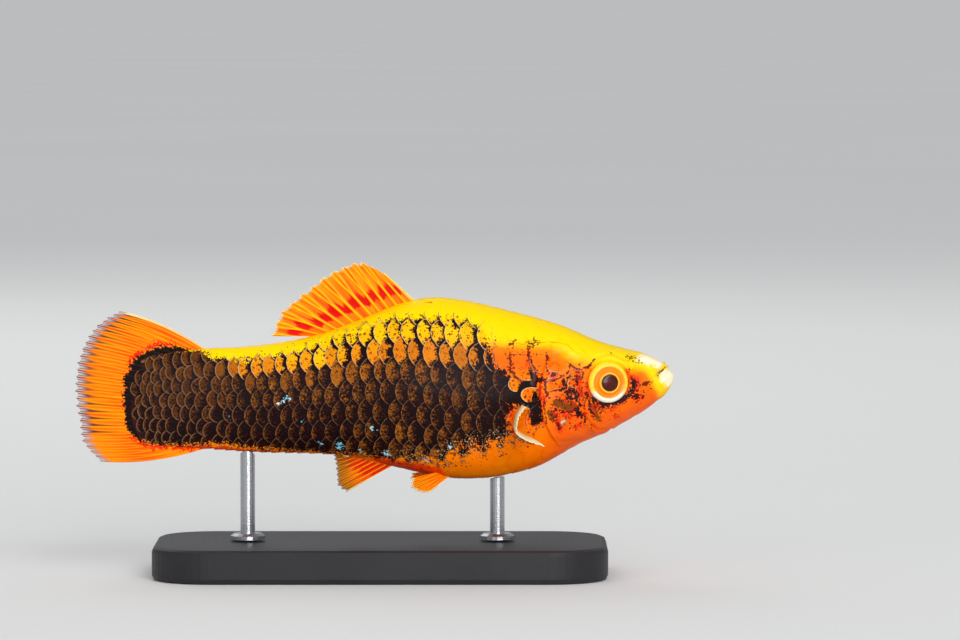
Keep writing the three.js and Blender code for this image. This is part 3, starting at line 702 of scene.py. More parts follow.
class Finish:
    """A material in the making, on its Principled shader."""

    def __init__(self, name):
        self.material = bpy.data.materials.new(name)
        self.material.use_nodes = True
        self.tree = self.material.node_tree
        self.shader = next(n for n in self.tree.nodes if n.type == "BSDF_PRINCIPLED")

    def node(self, kind, settings=None, sockets=None, output=0):
        """Adds a node with its settings, then the values or links of its sockets."""
        node = self.tree.nodes.new(kind)
        for name, value in (settings or {}).items():
            if name == "stops":
                self.set_stops(node.color_ramp, value)
            else:
                setattr(node, name, value)
        for key, value in (sockets or {}).items():
            self.feed(node.inputs[key], value)
        return Socket(self, node.outputs[output])

    def feed(self, entry, value):
        """Links a number or a node to a socket, or sets it. Colours are given without alpha."""
        if isinstance(value, Socket):
            self.tree.links.new(value.socket, entry)
        elif entry.type == "RGBA":
            entry.default_value = (*value, 1)
        else:
            entry.default_value = value

    @staticmethod
    def set_stops(ramp, stops):
        while len(ramp.elements) < len(stops):
            ramp.elements.new(1)
        for element, (position, colour) in zip(ramp.elements, stops):
            element.position = position
            element.color = (*colour, 1)

    def attribute(self, name):
        return self.node("ShaderNodeAttribute", {"attribute_name": name}, output="Fac")

    def place(self):
        return self.node("ShaderNodeTexCoord", output="Object")

    def map_place(self, name):
        """Both coordinates of one of the piece's own maps."""
        vector = self.node("ShaderNodeUVMap", {"uv_map": name})
        parts = self.tree.nodes.new("ShaderNodeSeparateXYZ")
        self.tree.links.new(vector.socket, parts.inputs[0])
        return Socket(self, parts.outputs["X"]), Socket(self, parts.outputs["Y"])

    def stretched(self, place, scale):
        return self.node("ShaderNodeMapping", None, {"Vector": place, "Scale": scale})

    def noise(self, place, scale, detail=2):
        """Noise round 0, from about -0.5 to 0.5. A scale of 1000 has blotches of a millimetre."""
        sockets = {"Vector": place, "Scale": scale, "Detail": detail}
        return self.node("ShaderNodeTexNoise", None, sockets, "Fac") - 0.5

    def streaks(self, across, along=0.0, layer=0.0, detail=2):
        """Noise on a plane of its own, stretched along one of its two numbers."""
        place = self.node("ShaderNodeCombineXYZ", None, {0: across, 1: along, 2: layer})
        return self.noise(place, 1, detail)

    def cells(self, place, scale):
        """Distance from the nearest of many scattered dots."""
        return self.node("ShaderNodeTexVoronoi", None, {"Vector": place, "Scale": scale}, "Distance")

    def mix(self, share, first, second):
        sockets = {"Factor": share, 6: first, 7: second}
        return self.node("ShaderNodeMix", {"data_type": "RGBA"}, sockets, output=2)

    def painted(self, colour, *coats):
        """A colour under coats of others, each given as its share and itself."""
        for share, other in coats:
            colour = self.mix(share, colour, other)
        return colour

    def ramp(self, value, *stops):
        return self.node("ShaderNodeValToRGB", {"stops": stops}, {"Fac": value}, "Color")

    def surface(self, **sockets):
        """Sets or links the shader's sockets, named with _ for a space."""
        for name, value in sockets.items():
            self.feed(self.shader.inputs[name.replace("_", " ")], value)

    def relief(self, height, distance, strength=1.0):
        """Fine relief that the mesh is too coarse for."""
        sockets = {"Height": height, "Distance": distance, "Strength": strength}
        self.surface(Normal=self.node("ShaderNodeBump", None, sockets))


def clear_selection():
    """Leaves object mode with nothing selected."""
    if bpy.context.object and bpy.context.object.mode != "OBJECT":
        bpy.ops.object.mode_set(mode="OBJECT")
    bpy.ops.object.select_all(action="DESELECT")


def take(piece):
    """Makes a piece the only one selected."""
    clear_selection()
    piece.select_set(True)
    bpy.context.view_layer.objects.active = piece


def close_outwards(piece):
    """Turns every face of a closed piece outwards."""
    take(piece)
    bpy.ops.object.mode_set(mode="EDIT")
    bpy.ops.mesh.select_all(action="SELECT")
    bpy.ops.mesh.normals_make_consistent(inside=False)
    bpy.ops.object.mode_set(mode="OBJECT")


def shade(piece, angle=None):
    """Shades a piece smooth, except over edges sharper than an angle."""
    take(piece)
    if angle is None:
        bpy.ops.object.shade_smooth()
    else:
        bpy.ops.object.shade_smooth_by_angle(angle=angle)


def points_of(piece):
    points = np.empty(len(piece.data.vertices) * 3)
    piece.data.vertices.foreach_get("co", points)
    return points.reshape(-1, 3)


def move_points(piece, points):
    piece.data.vertices.foreach_set("co", points.astype(np.float32).ravel())
    piece.data.update()


def keep_attributes(piece, values):
    """Stores numbers on the piece's vertices for its material to read, none beyond a limit."""
    for name, numbers in values.items():
        stored = piece.data.attributes.new(name, "FLOAT", "POINT")
        near = np.clip(numbers, -ATTRIBUTE_LIMIT, ATTRIBUTE_LIMIT)
        stored.data.foreach_set("value", near.astype(np.float32))


def keep_map(piece, name, places):
    """Adds a map to a piece from a place for each vertex."""
    corners = np.empty(len(piece.data.loops), np.int32)
    piece.data.loops.foreach_get("vertex_index", corners)
    layer = piece.data.uv_layers.new(name=name)
    layer.uv.foreach_set("vector", places[corners].astype(np.float32).ravel())


def settle(piece, material, slot, *nodes):
    """Gives a finished piece its material, hangs it on the frame's root and hides the parts that it stands
    for.
    """
    piece.data.materials.clear()
    piece.data.materials.append(material)
    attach(piece, "root")
    if nodes:
        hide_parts(*nodes)


# Materials of the skin and the scales
# Marks of the flesh by attribute and colour: how ragged their edge is in blotches and in grain,
# where they set in and are full, and their strength
FLESH_MARKS = (
    ("red", 1.8, 2.4, -0.12, 0.12, 0.85),
    ("olive", 1.4, 2.2, -0.1, 0.3, 0.88),
    # The cream also paints the head's small glints, painted highlights
    ("cream", 1.3, 1.5, -0.3, 0.35, 0.92),
)
FRECKLE_CELLS, FINE_FRECKLE_CELLS = 1250, 2100


def coat_colours(finish, coat):
    """The flesh's colour with its marks, the shares of black and freckles, and two noises."""
    place = finish.place()
    blotches = finish.noise(place, 800, 3)
    grain = finish.noise(place, 3400, 3)
    flesh = finish.ramp(
        finish.attribute("warm") + blotches * 0.22 + grain * 0.08,
        (0.0, coat.yellow), (0.22, coat.yellow), (0.42, coat.amber), (0.64, coat.orange),
        (1.0, coat.deep),
    )
    for name, rough, fine, low, high, strength in FLESH_MARKS:
        mark = (finish.attribute(name) + blotches * rough + grain * fine).step(low, high)
        flesh = finish.mix(mark * strength, flesh, getattr(coat, name))
    inside, bare, loose = (finish.attribute(name) for name in ("black", "bare", "loose"))
    ragged = inside + blotches * (2.2 - bare * 1.4 + loose * 3.5)
    ragged = ragged + grain * (3.0 - bare * 1.0 + loose * 2.0)
    black = ragged.step(-0.06, 0.1)
    halo = ragged.step(-0.6, -0.05) * bare * (grain + blotches + 0.12).step(0.0, 0.2)
    near = (inside + blotches * 3 + 1.1 + bare * 0.2 + loose * 1.2).step(0.0, 1.4)
    near = near.at_least((finish.attribute("speckled") + blotches).step(-0.4, 0.3))
    freckle = (near * 0.29 + grain * 0.7 - finish.cells(place, FRECKLE_CELLS)).step(0.0, 0.05)
    fine_freckle = near * 0.24 + blotches * 0.5 + grain * 0.3
    fine_freckle = (fine_freckle - finish.cells(place, FINE_FRECKLE_CELLS)).step(0.0, 0.05)
    freckle = freckle.at_least(fine_freckle)
    lines = (finish.attribute("lines") + grain * 0.55 + blotches * 0.2).step(-0.05, 0.04)
    flesh = finish.painted(
        flesh, (halo * 0.75, coat.red), (freckle * 0.85, coat.maroon), (lines * 0.92, coat.maroon)
    )
    return flesh, black, freckle, blotches, grain


def skin_finish(coat):
    finish = Finish("wet skin")
    flesh, dark, _, blotches, grain = coat_colours(finish, coat)
    black = finish.mix((grain + blotches * 0.4).step(0.0, 0.14) * 0.7, coat.black, coat.maroon)
    fringe = (dark * (1 - dark) * 4) * 0.6
    pores = finish.cells(finish.place(), 2600)
    finish.surface(
        Base_Color=finish.painted(flesh, (dark, black), (fringe, coat.maroon)),
        Roughness=0.42 + grain * 0.25,
        Specular_IOR_Level=0.09,
        Coat_Weight=0.06,
        Coat_Roughness=0.12,
        Subsurface_Weight=0.12,
        Subsurface_Radius=(1.0, 0.35, 0.12),
        Subsurface_Scale=0.0006,
    )
    finish.relief(grain * 0.6 + pores * 0.5, 0.00008, 0.5)
    return finish.material


def scale_finish(coat):
    """Each scale has a pale rim, a painted highlight where its free edge catches the light, a mottled
    gold crescent behind a ragged black base, painted shade under the scales that cover it, and
    growth rings."""
    finish = Finish("scales")
    flesh, dark, freckle, blotches, grain = coat_colours(finish, coat)
    fine = finish.noise(finish.place(), 5200, 2)
    names = ("lap", "side_lap", "reach", "gold", "tone", "tail", "half", "black", "loose")
    lap, side_lap, reach, bright, tone, tail, half, inside, loose = map(finish.attribute, names)
    along, across = finish.map_place("ScaleUV")
    rear = along.at_least(0.0)
    ring = (rear * rear + across * across) ** 0.5
    from_edge = (1 - ring) * half
    # How far a place lies behind the scales that cover this one, as a share of its rounded part
    own = (1 - across * across).at_least(0.0) ** 0.5 - lap
    beside = abs(across) - side_lap
    next_rows = (1 - beside * beside).at_least(0.0) ** 0.5 - lap * 0.5
    open_part = along - own.at_least(next_rows)
    # Painted shade: black where the scales that cover this one lie over it, reaching a little past their
    # edges
    shade_under_next = 1 - (open_part + fine * 0.06).step(0.0, 0.06)
    # The crescent: its front edge and its mottled gold. On dark scales the front edge is soft, a painted
    # shading that darkens each scale from its rear edge towards its root
    soft = 1 - bright.step(0.0, 0.6)
    lit = open_part + blotches * 0.4 + grain * 0.7 - (0.62 - reach * 0.56)
    lit = lit.step(soft * -0.1 - 0.04, soft * 0.35 + 0.07)
    mottle = (blotches * 0.9 + grain * 1.6 + reach * 0.2 + bright * 0.16).step(-0.1, 0.16)
    rust = (grain + fine * 0.7 + (tone - 0.5) * 0.1).step(0.0, 0.22)
    shaded = ((tone - 0.5) * 0.5 + grain).step(0.0, 0.6) * (0.5 - bright * 0.25)
    gold = finish.painted(
        finish.mix(bright, coat.brown, coat.gold),
        ((bright - 0.7).step(0.0, 0.3) * 0.7, flesh),
        (rust * (0.36 - bright * 0.2 - tail * 0.14), coat.gold),
        (shaded, coat.brown),
    )
    # Painted highlight: the pale rim where the free edge catches the light, wider and stronger on the tail
    # root to show its scales' relief
    rim = 1 - (from_edge - tail * 0.05).step(0.08, 0.15)
    rim = rim * (0.42 + bright * 0.4 + tail * (0.2 + blotches))
    specks = (grain - fine * 0.5).step(0.06, 0.2)
    pattern = finish.painted(
        finish.mix(specks * 0.6, coat.black, coat.maroon),
        (lit * mottle * (1 - tail * 0.4), gold),
        (freckle * bright * 0.7, coat.maroon),
        (rim, finish.mix(bright, coat.grey_rim, coat.rim)),
        (shade_under_next * 0.85, coat.black),
    )
    # Outside the black the scale shows only by its edge, and only near the black: a painted highlight on
    # its pale rim, and a maroon outline with painted shade where the next scales cover it
    near_black = (inside + blotches * 2 + 1.1).step(0.0, 1.0)
    edge = 1 - (from_edge + grain * 0.15).step(0.04, 0.1)
    # Painted highlight on the pale rims of the scales near the black
    pale_edge_highlight = (1 - from_edge.step(0.12, 0.22)) * near_black * 0.35
    # A maroon outline along the scale's own edge, with painted shade where the next scales cover it
    dark_edge_and_shade = (edge * 0.9).at_least(shade_under_next * 0.35) * near_black
    at_border = loose * (1 - abs(inside - 0.6).step(0.2, 2.0))
    pale_specks = at_border * (grain + blotches * 0.3 + fine * 0.3).step(0.1, 0.16)
    # Painted glints: blue and white highlights low on the flank, the white in the cream colour
    glint = (finish.attribute("glint") + grain * 1.2 + blotches).step(-0.05, 0.12)
    colour = finish.painted(
        flesh,
        (pale_edge_highlight, coat.rim),
        (dark_edge_and_shade, coat.maroon),
        (dark, pattern),
        (pale_specks * 0.8, coat.rim),
        (glint * 0.9, finish.mix((fine + blotches).step(0.02, 0.12), coat.glint, coat.cream)),
    )
    rings = (ring * 70 + grain * 3).sine()
    finish.surface(
        Base_Color=colour,
        Roughness=0.42 + grain * 0.3,
        Specular_IOR_Level=0.04,
        Coat_Weight=0.02,
        Coat_Roughness=0.12,
    )
    finish.relief(rings * 0.5 + grain * 1.2, 0.00002, 0.6)
    return finish.material


# Skin
# The skin's rings at its two rounded ends, and between them: from a place to the next, and how many
SNOUT_RINGS, TAIL_RINGS = 26, 14
RING_STRETCHES = (
    (SNOUT_ROUNDING, 4.0, 26), (4.0, 22.5, 132), (22.5, STALK_END, 78),
    (STALK_END, FLESH_LENGTH - TAIL_ROUNDING, 22),
)
RING_PLACES = np.concatenate([
    SNOUT_ROUNDING * (1 - np.cos(np.linspace(0, QUARTER, SNOUT_RINGS))),
    *[np.linspace(*stretch)[1:] for stretch in RING_STRETCHES],
    FLESH_LENGTH - TAIL_ROUNDING * (1 - np.sin(np.linspace(0, QUARTER, TAIL_RINGS)))[1:],
])
SKIN_SEGMENTS = 192


class SWORDTAIL_OT_skin(bpy.types.Operator):
    """One closed skin from the lips to the tail root, with the mouth, nostrils, eye sockets and
    gill covers in it."""

    bl_idname = "swordtail.skin"
    bl_label = "Skin"

    def execute(self, context):
        coat = context.scene.swordtail.coat
        clear_selection()
        rings = len(RING_PLACES) - 1
        bpy.ops.mesh.primitive_uv_sphere_add(segments=SKIN_SEGMENTS, ring_count=rings, radius=1)
        skin = context.object
        skin.name = "skin"
        ball = points_of(skin)
        ring = np.rint(np.arccos(np.clip(ball[:, 2], -1, 1)) / math.pi * rings).astype(int)
        behind = RING_PLACES[ring]
        angle = np.arctan2(ball[:, 1], ball[:, 0]) + QUARTER
        _, above, _ = skin_point(behind, angle)
        grown = head_relief(behind, above) - coat.depth / MM * coat_share(behind, above)
        place_behind, place_above, place_out = skin_point(behind, angle, grown)
        move_points(skin, in_metres(place_behind, place_above, place_out))
        keep_attributes(skin, markings(behind, above))
        skin.data.uv_layers[0].name = "OFBake"
        close_outwards(skin)
        shade(skin)
        covers = ("gill_cover_left", "gill_cover_right")
        settle(skin, skin_finish(coat), "skin", "head", "torso", "tail_stalk", *covers)
        return {"FINISHED"}


# Scales
ARC_COLUMNS = 9
SCALE_RINGS = (1.0, 0.9, 0.62, 0.3)
ROUND_PITCHES = 1.4
LENGTH_PITCHES = 2.3
HALF_HEIGHT_ROWS = 0.86
ROOT_TAPER = 0.86
HEAD_STANDING = 0.09
ROOT_SUNK = 0.04


def scale_pattern():
    """One scale's vertices, as (along, across) with its rear tip at along 1, its widest place at 0
    and its root at -1, its faces, and the number of the first vertex of its underside."""
    turns = np.linspace(QUARTER, -QUARTER, ARC_COLUMNS)
    vertices, faces = [], []
    columns = ARC_COLUMNS + 4
    for ring in SCALE_RINGS:
        vertices += [(-1, ring * ROOT_TAPER), (-0.5, ring)]
        vertices += [(ring * math.cos(t), ring * math.sin(t)) for t in turns]
        vertices += [(-0.5, -ring), (-1, -ring * ROOT_TAPER)]
    for row in range(len(SCALE_RINGS) - 1):
        for column in range(columns - 1):
            a = row * columns + column
            faces.append((a, a + 1, a + columns + 1, a + columns))
    middle = len(vertices)
    vertices += [(0, 0), (-0.5, 0), (-1, 0)]
    inner = (len(SCALE_RINGS) - 1) * columns
    for column in range(2, columns - 3):
        faces.append((inner + column, inner + column + 1, middle))
    faces.append((inner + 1, inner + 2, middle, middle + 1))
    faces.append((inner, inner + 1, middle + 1, middle + 2))
    faces.append((inner + columns - 3, inner + columns - 2, middle + 1, middle))
    faces.append((inner + columns - 2, inner + columns - 1, middle + 2, middle + 1))
    under = len(vertices)
    vertices += vertices[:columns]
    for column in range(columns - 1):
        faces.append((column + 1, column, under + column, under + column + 1))
    faces.append(tuple(under + c for c in range(columns)))
    root = [row * columns for row in range(len(SCALE_RINGS))] + [middle + 2]
    root += [(row + 1) * columns - 1 for row in reversed(range(len(SCALE_RINGS)))]
    faces.append((*root, under + columns - 1, under))
    return np.array(vertices, float), faces, under


PATTERN, PATTERN_FACES, UNDERSIDE = scale_pattern()

IS_UNDER = (np.arange(len(PATTERN)) >= UNDERSIDE)[None].astype(float)
RISE_REACH, RISE_SAMPLES = 18.0, 361
# How much single scales differ: dim and bright ones in their gold, all in how far it reaches, in
# their tip's place by pitches and in their lean by degrees
DIM_JITTER, BRIGHT_JITTER, GOLD_SPREAD, REACH_JITTER = 0.3, 0.1, 0.02, 0.42
TIP_JITTER, LEAN_JITTER = 0.1, 3
# Scales of the tail root differ more, and are shorter and lower
WILDEST, WILD_FRONT = 0.6, (62, 72)
WILD_TIP, WILD_LEAN, WILD_SHORTER, WILD_LOWER = 0.22, 18, 0.35, 0.18
LARGE_HIDDEN = 0.35
FLAT_SHARE = 0.6
# A scale's patch in the bake map, as shares of the scale, and how far round the body the map goes
PATCH_SHARE, PATCH_LENGTH, PATCH_HEIGHT, UNDERSIDE_SPREAD = 0.32, 0.9, 1.6, 0.08
MAP_REACH = 19.0

# How many scales a row has passed at each place
COUNT_STEP = 0.1
count_behind = np.arange(0, FLESH_LENGTH + COUNT_STEP, COUNT_STEP)
count_steps = COUNT_STEP / scale_pitch_line(count_behind[1:])
count_scales = np.concatenate([[0], np.cumsum(count_steps)])


def flank_height(behind, above):
    """0 at the belly line to 1 at the back."""
    return (above - belly_line(behind)) / (back_line(behind) - belly_line(behind))


def gold_share(behind, above):
    """How bright a scale is: gold on the upper flank, brown below, dim on the tail root."""
    height = flank_height(behind, above) - 0.08 * smooth_step(46, 62, behind)
    share = 0.03 + 0.97 * smooth_step(0.54, 0.84, height)
    share += 0.16 * bump(behind - 40, 8) * bump(height - 0.16, 0.12)
    return share * (1 - 0.93 * smooth_step(64, 71, behind))


def gold_reach(behind, above):
    """How much of a scale isn't black: little in the dark zone behind the gill cover."""
    height = flank_height(behind, above)
    reach = 0.5 + 0.36 * smooth_step(0.4, 0.8, height)
    reach -= 0.3 * smooth_step(46, 54, behind) * smooth_step(0.5, 0.25, height)
    reach += 0.2 * smooth_step(66, 71, behind) * smooth_step(0.2, 0.4, height)
    solid = smooth_step(31.2, 28.4, behind) * smooth_step(0.88, 0.78, height)
    return reach * (1 - 0.97 * solid)


def flatness(behind, above):
    """1 where the scales lie so flat that their edges hardly show: on the back and the belly."""
    height = flank_height(behind, above)
    on_nape = smooth_step(22, 19, behind) * smooth_step(3.4, 4.6, above)
    on_back = np.maximum(smooth_step(0.86, 0.95, height), on_nape)
    on_belly = smooth_step(0.2, 0.06, height) * band((24, 28), (46, 42), behind)
    return np.clip(on_back + on_belly, 0, 1)


def height_at(behind, rise):
    """The height of a place that lies at a rise round the body from its widest line."""
    return float(flank_point(np.array([behind]), np.array([rise]), LEFT, 0)[1][0])


def rise_at(behind, above):
    """How far round the body from its widest line a height on the side lies."""
    rises = np.linspace(-RISE_REACH, RISE_REACH, RISE_SAMPLES)
    heights = flank_point(np.full(rises.shape, float(behind)), rises, LEFT, 0)[1]
    middle = slice(np.argmin(heights), np.argmax(heights) + 1)
    return float(np.interp(above, heights[middle], rises[middle]))


class ScaleCoat:
    """Gathers scales and makes them one piece."""

    def __init__(self, coat, seed):
        self.coat = coat
        self.random = np.random.default_rng(seed)
        self.rows = []

    def jitter(self, amount):
        return amount * self.random.uniform(-1, 1)

    def add(self, behind, rise, side, row_share=1.0):
        """A scale of the regular rows, its rear tip at a place behind and a rise round the body.
        The scales of the tail root are wilder than the others."""
        wild = WILDEST * float(smooth_step(*WILD_FRONT, behind))
        pitch, row = float(scale_pitch_line(behind)), float(row_pitch_line(behind))
        above = height_at(behind, rise)
        plain_gold = float(gold_share(behind, above))
        gold_jitter = DIM_JITTER + (BRIGHT_JITTER - DIM_JITTER) * plain_gold
        gold = plain_gold * (1 + self.jitter(gold_jitter)) + self.jitter(GOLD_SPREAD)
        reach = gold_reach(behind, above) * (1 + self.jitter(REACH_JITTER))
        gold, reach = np.clip((gold, reach), 0, 1)
        uneven = self.coat.unevenness * (1 + 2 * wild)
        rounded = (ROUND_PITCHES - WILD_SHORTER * wild) * pitch * (1 + self.jitter(uneven))
        half = (HALF_HEIGHT_ROWS - WILD_LOWER * wild) * row * row_share * (1 + self.jitter(uneven))
        tip = behind + self.jitter((TIP_JITTER + WILD_TIP * wild) * pitch)
        lean = self.jitter(math.radians(LEAN_JITTER + WILD_LEAN * wild))
        hidden = LENGTH_PITCHES * pitch - rounded
        laps = (pitch / rounded, row / half, behind)
        self.rows.append((tip, rise, side, rounded, hidden, half, lean, gold, reach, 0.0, *laps))

    def add_large(self, behind, above, side, rounded, half, lean, bare):
        """A large scale of the shoulder or the cheek."""
        place = (behind, rise_at(behind, above), side)
        hidden = LARGE_HIDDEN * rounded
        self.rows.append((*place, rounded, hidden, half, lean, 1.0, 0.9, bare, 1.2, 2.0, behind))

    def make(self, name):
        """One mesh of all the scales, each laid on the body with its root sunk into the skin."""
        table = np.array(self.rows, float).T[:, :, None]
        tip, rise, side, rounded, hidden, half, lean, gold, reach, bare, lap, side_lap, cell = table
        along, across = PATTERN[None, :, 0], PATTERN[None, :, 1]
        back = np.where(along > 0, along * rounded, along * hidden) - rounded
        up = across * half
        behind = tip + back * np.cos(lean) + up * np.sin(lean)
        round_body = rise + up * np.cos(lean) - back * np.sin(lean)
        ring = np.minimum(np.hypot(np.maximum(along, 0), across), 1)
        tilt = -back / (rounded + hidden)
        depth = self.coat.depth / MM
        _, plain_above, _ = flank_point(behind, round_body, side, 0)
        share = coat_share(behind, plain_above, 1 - bare)
        standing = HEAD_STANDING + (depth - HEAD_STANDING) * share
        base = head_relief(behind, plain_above) * bare - depth * share
        flat = FLAT_SHARE * flatness(behind, plain_above)
        grown = base + standing * (1 - tilt) + (flat * standing - ROOT_SUNK) * tilt
        grown = grown + self.coat.dome / MM * (1 - ring**2) * (1 - tilt)
        places = flank_point(behind, round_body, side, grown - IS_UNDER * self.coat.thickness / MM)
        faces = []
        for i, one_side in enumerate(side[:, 0]):
            for face in PATTERN_FACES:
                corners = [i * len(PATTERN) + c for c in face]
                faces.append(corners if one_side > 0 else corners[::-1])
        mesh = bpy.data.meshes.new(name)
        mesh.from_pydata(in_metres(*places).reshape(-1, 3).tolist(), [], faces)
        piece = bpy.data.objects.new(name, mesh)
        bpy.context.scene.collection.objects.link(piece)
        marks = markings(places[0].ravel(), places[1].ravel())
        tone = self.random.random(len(tip))[:, None]
        same = dict(gold=gold, reach=reach, tone=tone, lap=lap, side_lap=side_lap, half=half)
        for key, values in same.items():
            marks[key] = np.broadcast_to(values, behind.shape).ravel()
        keep_attributes(piece, marks)
        plan = np.stack(np.broadcast_arrays(along, across + 0 * tip), -1).reshape(-1, 2)
        keep_map(piece, "ScaleUV", plan)
        # In the bake map each scale is a small patch in its own cell of the side's unwrap
        spread = 1 + UNDERSIDE_SPREAD * IS_UNDER
        u = cell + PATCH_SHARE * rounded * (PATCH_LENGTH * along * spread - 0.5)
        v = rise + PATCH_SHARE * half * PATCH_HEIGHT * across * spread
        unwrap = np.stack([u / FLESH_LENGTH, 0.5 + v / (2 * MAP_REACH)], -1)
        keep_map(piece, "OFBake", unwrap.reshape(-1, 2))
        return piece


# The regular rows, and the places where they begin and end
FLANK_ROWS = range(-6, 7)
SCALE_COUNTS = range(3, 60)
FIRST_BACK_SCALE = 12.0
FIRST_BELLY_SCALE = 19.5
LAST_SCALE = 81.7
GILL_CLEARANCE = 0.9
LAST_ROW_MARGIN = 0.3
HEAD_TOP, THROAT_LEVEL = 3.0, -8.0
# The narrow row over the shoulder's large scales, and the rows along the back and the belly
NARROW_ROW_REAR, NARROW_ROW_FOOT, NARROW_ROW_TOP = 27, 4.8, 7.6
NARROW_ROW_SHARE = 0.62
MIDLINE_ROW_SHARE, MIDLINE_SHIFT = 1.1, 0.25
# Large scales of the shoulder and the cheek: rear tip behind and above, rounded length, half
# height and lean in degrees, and 1 where one lies on the bare head
LARGE_SCALES = (
    (27.3, 3.8, 2.7, 2.8, 0, 0), (24.7, 2.5, 2.7, 2.85, 0, 0), (21.8, 3.0, 2.6, 2.5, 0, 0),
    (24.9, -0.9, 1.9, 1.4, 12, 0), (23.0, -1.9, 1.8, 1.2, -20, 0), (19.4, 2.1, 2.5, 1.55, 0, 1),
    (19.4, -0.9, 2.3, 1.0, 0, 1), (16.1, -0.6, 1.1, 0.8, 0, 1), (15.65, 0.7, 0.8, 0.75, 0, 1),
)
SCALE_CREASE = math.radians(50)
# Name, side and random seed of each coat of scales
COATS = (("right", RIGHT, 10), ("left", LEFT, 12), ("midline", 0, 5))


def in_regular_rows(behind, above):
    """Whether a place carries a scale of the regular rows: neither bare nor under a large one."""
    if above < HEAD_TOP and behind_gill_edge(behind, above) < GILL_CLEARANCE:
        return False
    if above < THROAT_LEVEL and behind < FIRST_BELLY_SCALE:
        return False
    lowest = -3.8 if behind < 24.2 else -2.9
    rear = 28.4 if above > 1.5 else 25.6
    return not (lowest < above < NARROW_ROW_FOOT and behind < rear)


def add_flank_rows(scales, side):
    """Rows of scales from the widest line to the back and the belly, each shifted half a pitch."""
    for row in FLANK_ROWS:
        for count in SCALE_COUNTS:
            behind = float(np.interp(count + 0.5 * (row % 2), count_scales, count_behind))
            pitch = row_pitch_line(behind)
            full = np.interp(behind, table_behind, ARC_UP if row > 0 else ARC_DOWN)
            past_edge = abs(row) * pitch > full - LAST_ROW_MARGIN * pitch
            if past_edge or not FIRST_BACK_SCALE <= behind <= LAST_SCALE:
                continue
            above = height_at(behind, row * pitch)
            if in_regular_rows(behind, above):
                narrow = behind < NARROW_ROW_REAR and NARROW_ROW_FOOT <= above < NARROW_ROW_TOP
                scales.add(behind, row * pitch, side, NARROW_ROW_SHARE if narrow else 1.0)
    for behind, above, rounded, half, lean, bare in LARGE_SCALES:
        scales.add_large(behind, above, side, rounded, half, math.radians(lean), bare)


def add_midline_rows(scales):
    """One row along the back and one along the belly."""
    for count in SCALE_COUNTS:
        behind = float(np.interp(count + MIDLINE_SHIFT, count_scales, count_behind))
        for way, lengths, first in ((1, ARC_UP, FIRST_BACK_SCALE), (-1, ARC_DOWN, FIRST_BELLY_SCALE)):
            if first <= behind <= LAST_SCALE - 1:
                full = float(np.interp(behind, table_behind, lengths))
                scales.add(behind, way * full, LEFT, MIDLINE_ROW_SHARE)


class SWORDTAIL_OT_flank_scales(bpy.types.Operator):
    """The scales of both flanks, and the rows along the back and the belly."""

    bl_idname = "swordtail.flank_scales"
    bl_label = "Flank scales"

    def execute(self, context):
        coat = context.scene.swordtail.coat
        finish = scale_finish(coat)
        for name, side, seed in COATS:
            scales = ScaleCoat(coat, seed)
            if side:
                add_flank_rows(scales, side)
            else:
                add_midline_rows(scales)
            piece = scales.make(f"scales_{name}")
            shade(piece, SCALE_CREASE)
            settle(piece, finish, "scaled_flank")
        return {"FINISHED"}


# Fins
def knots(points, side):
    """Points as an array, mirrored to a side. One without a place out lies in the middle plane."""
    return np.array([(*point, 0.0)[:3] for point in points], float) * (1, 1, side)


def curve_points(points, share):
    """Points of a centripetal spline, with an equal share of the curve between any two knots."""
    points = np.vstack([2 * points[0] - points[1], points, 2 * points[-1] - points[-2]])
    place = np.clip(share, 0, 1) * (len(points) - 3)
    i = np.clip(place.astype(int), 0, len(points) - 4)
    t = (place - i)[..., None]
    p = [points[i + k] for k in range(4)]
    gaps = [np.linalg.norm(p[k + 1] - p[k], axis=-1)[..., None] ** 0.5 for k in range(3)]
    leave = (p[1] - p[0]) / gaps[0] - (p[2] - p[0]) / (gaps[0] + gaps[1])
    arrive = (p[3] - p[2]) / gaps[2] - (p[3] - p[1]) / (gaps[1] + gaps[2])
    step = (p[2] - p[1]) / gaps[1]
    start, end = (leave + step) * gaps[1], (arrive + step) * gaps[1]
    second = -3 * p[1] + 3 * p[2] - 2 * start - end
    third = 2 * p[1] - 2 * p[2] + start + end
    return p[1] + start * t + second * t**2 + third * t**3


FIN_CLEARANCE = 0.1
# Each fin: its counts of rays, of columns from ray to ray and of rows, the depth of its jagged
# margin, how far its root is sunk, how far its rays fork, its root and edge as (behind, above, out),
# and what its look has besides the plain one
DORSAL_FIN = {
    "rays": 13, "columns": 14, "rows": 48, "jag": 0.55, "sunk": 0.9, "branches": 0.2,
    "root": tuple((b, float(back_line(b))) for b in (39, 44.2, 49.5, 54.7)),
    "edge": (
        (43.5, 15.75), (46.95, 17.45), (49.8, 16.95), (53.1, 15), (56.1, 12.6), (59.25, 9.9),
        (60.75, 6.15),
    ),
    "look": {
        "blotch": (1.0, 2.2), "blotch_strength": 1.0, "lead_rays": 0.25, "lead_yellow": 0.75,
        "pale_rays": 0.55, "margin": 0.42, "cream_margin": 0.7, "dark_lines": 0.0,
    },
}
CAUDAL_FIN = {
    "rays": 26, "columns": 14, "rows": 64, "jag": 0.48, "sunk": 0.0, "branches": 0.3, "bow": 0.9,
    "root": ((STALK_END, 4.0), (STALK_END, -3.3), (STALK_END, -10.6)),
    "edge": (
        (83.4, 9.9), (86.4, 8.1), (88.6, 5.1), (89.8, 1.4), (TOTAL_LENGTH, -2.4), (89.5, -6.4),
        (88.8, -10), (86.4, -12.7),
    ),
    "look": {
        "margin": 1.9, "root_black": 1.0, "dark_lines": 1.0, "dark_from": 11, "dark_tips": 0.85,
        "flames": 0.5, "lead_rays": 0.3, "clear_margin": 0.1,
    },
}
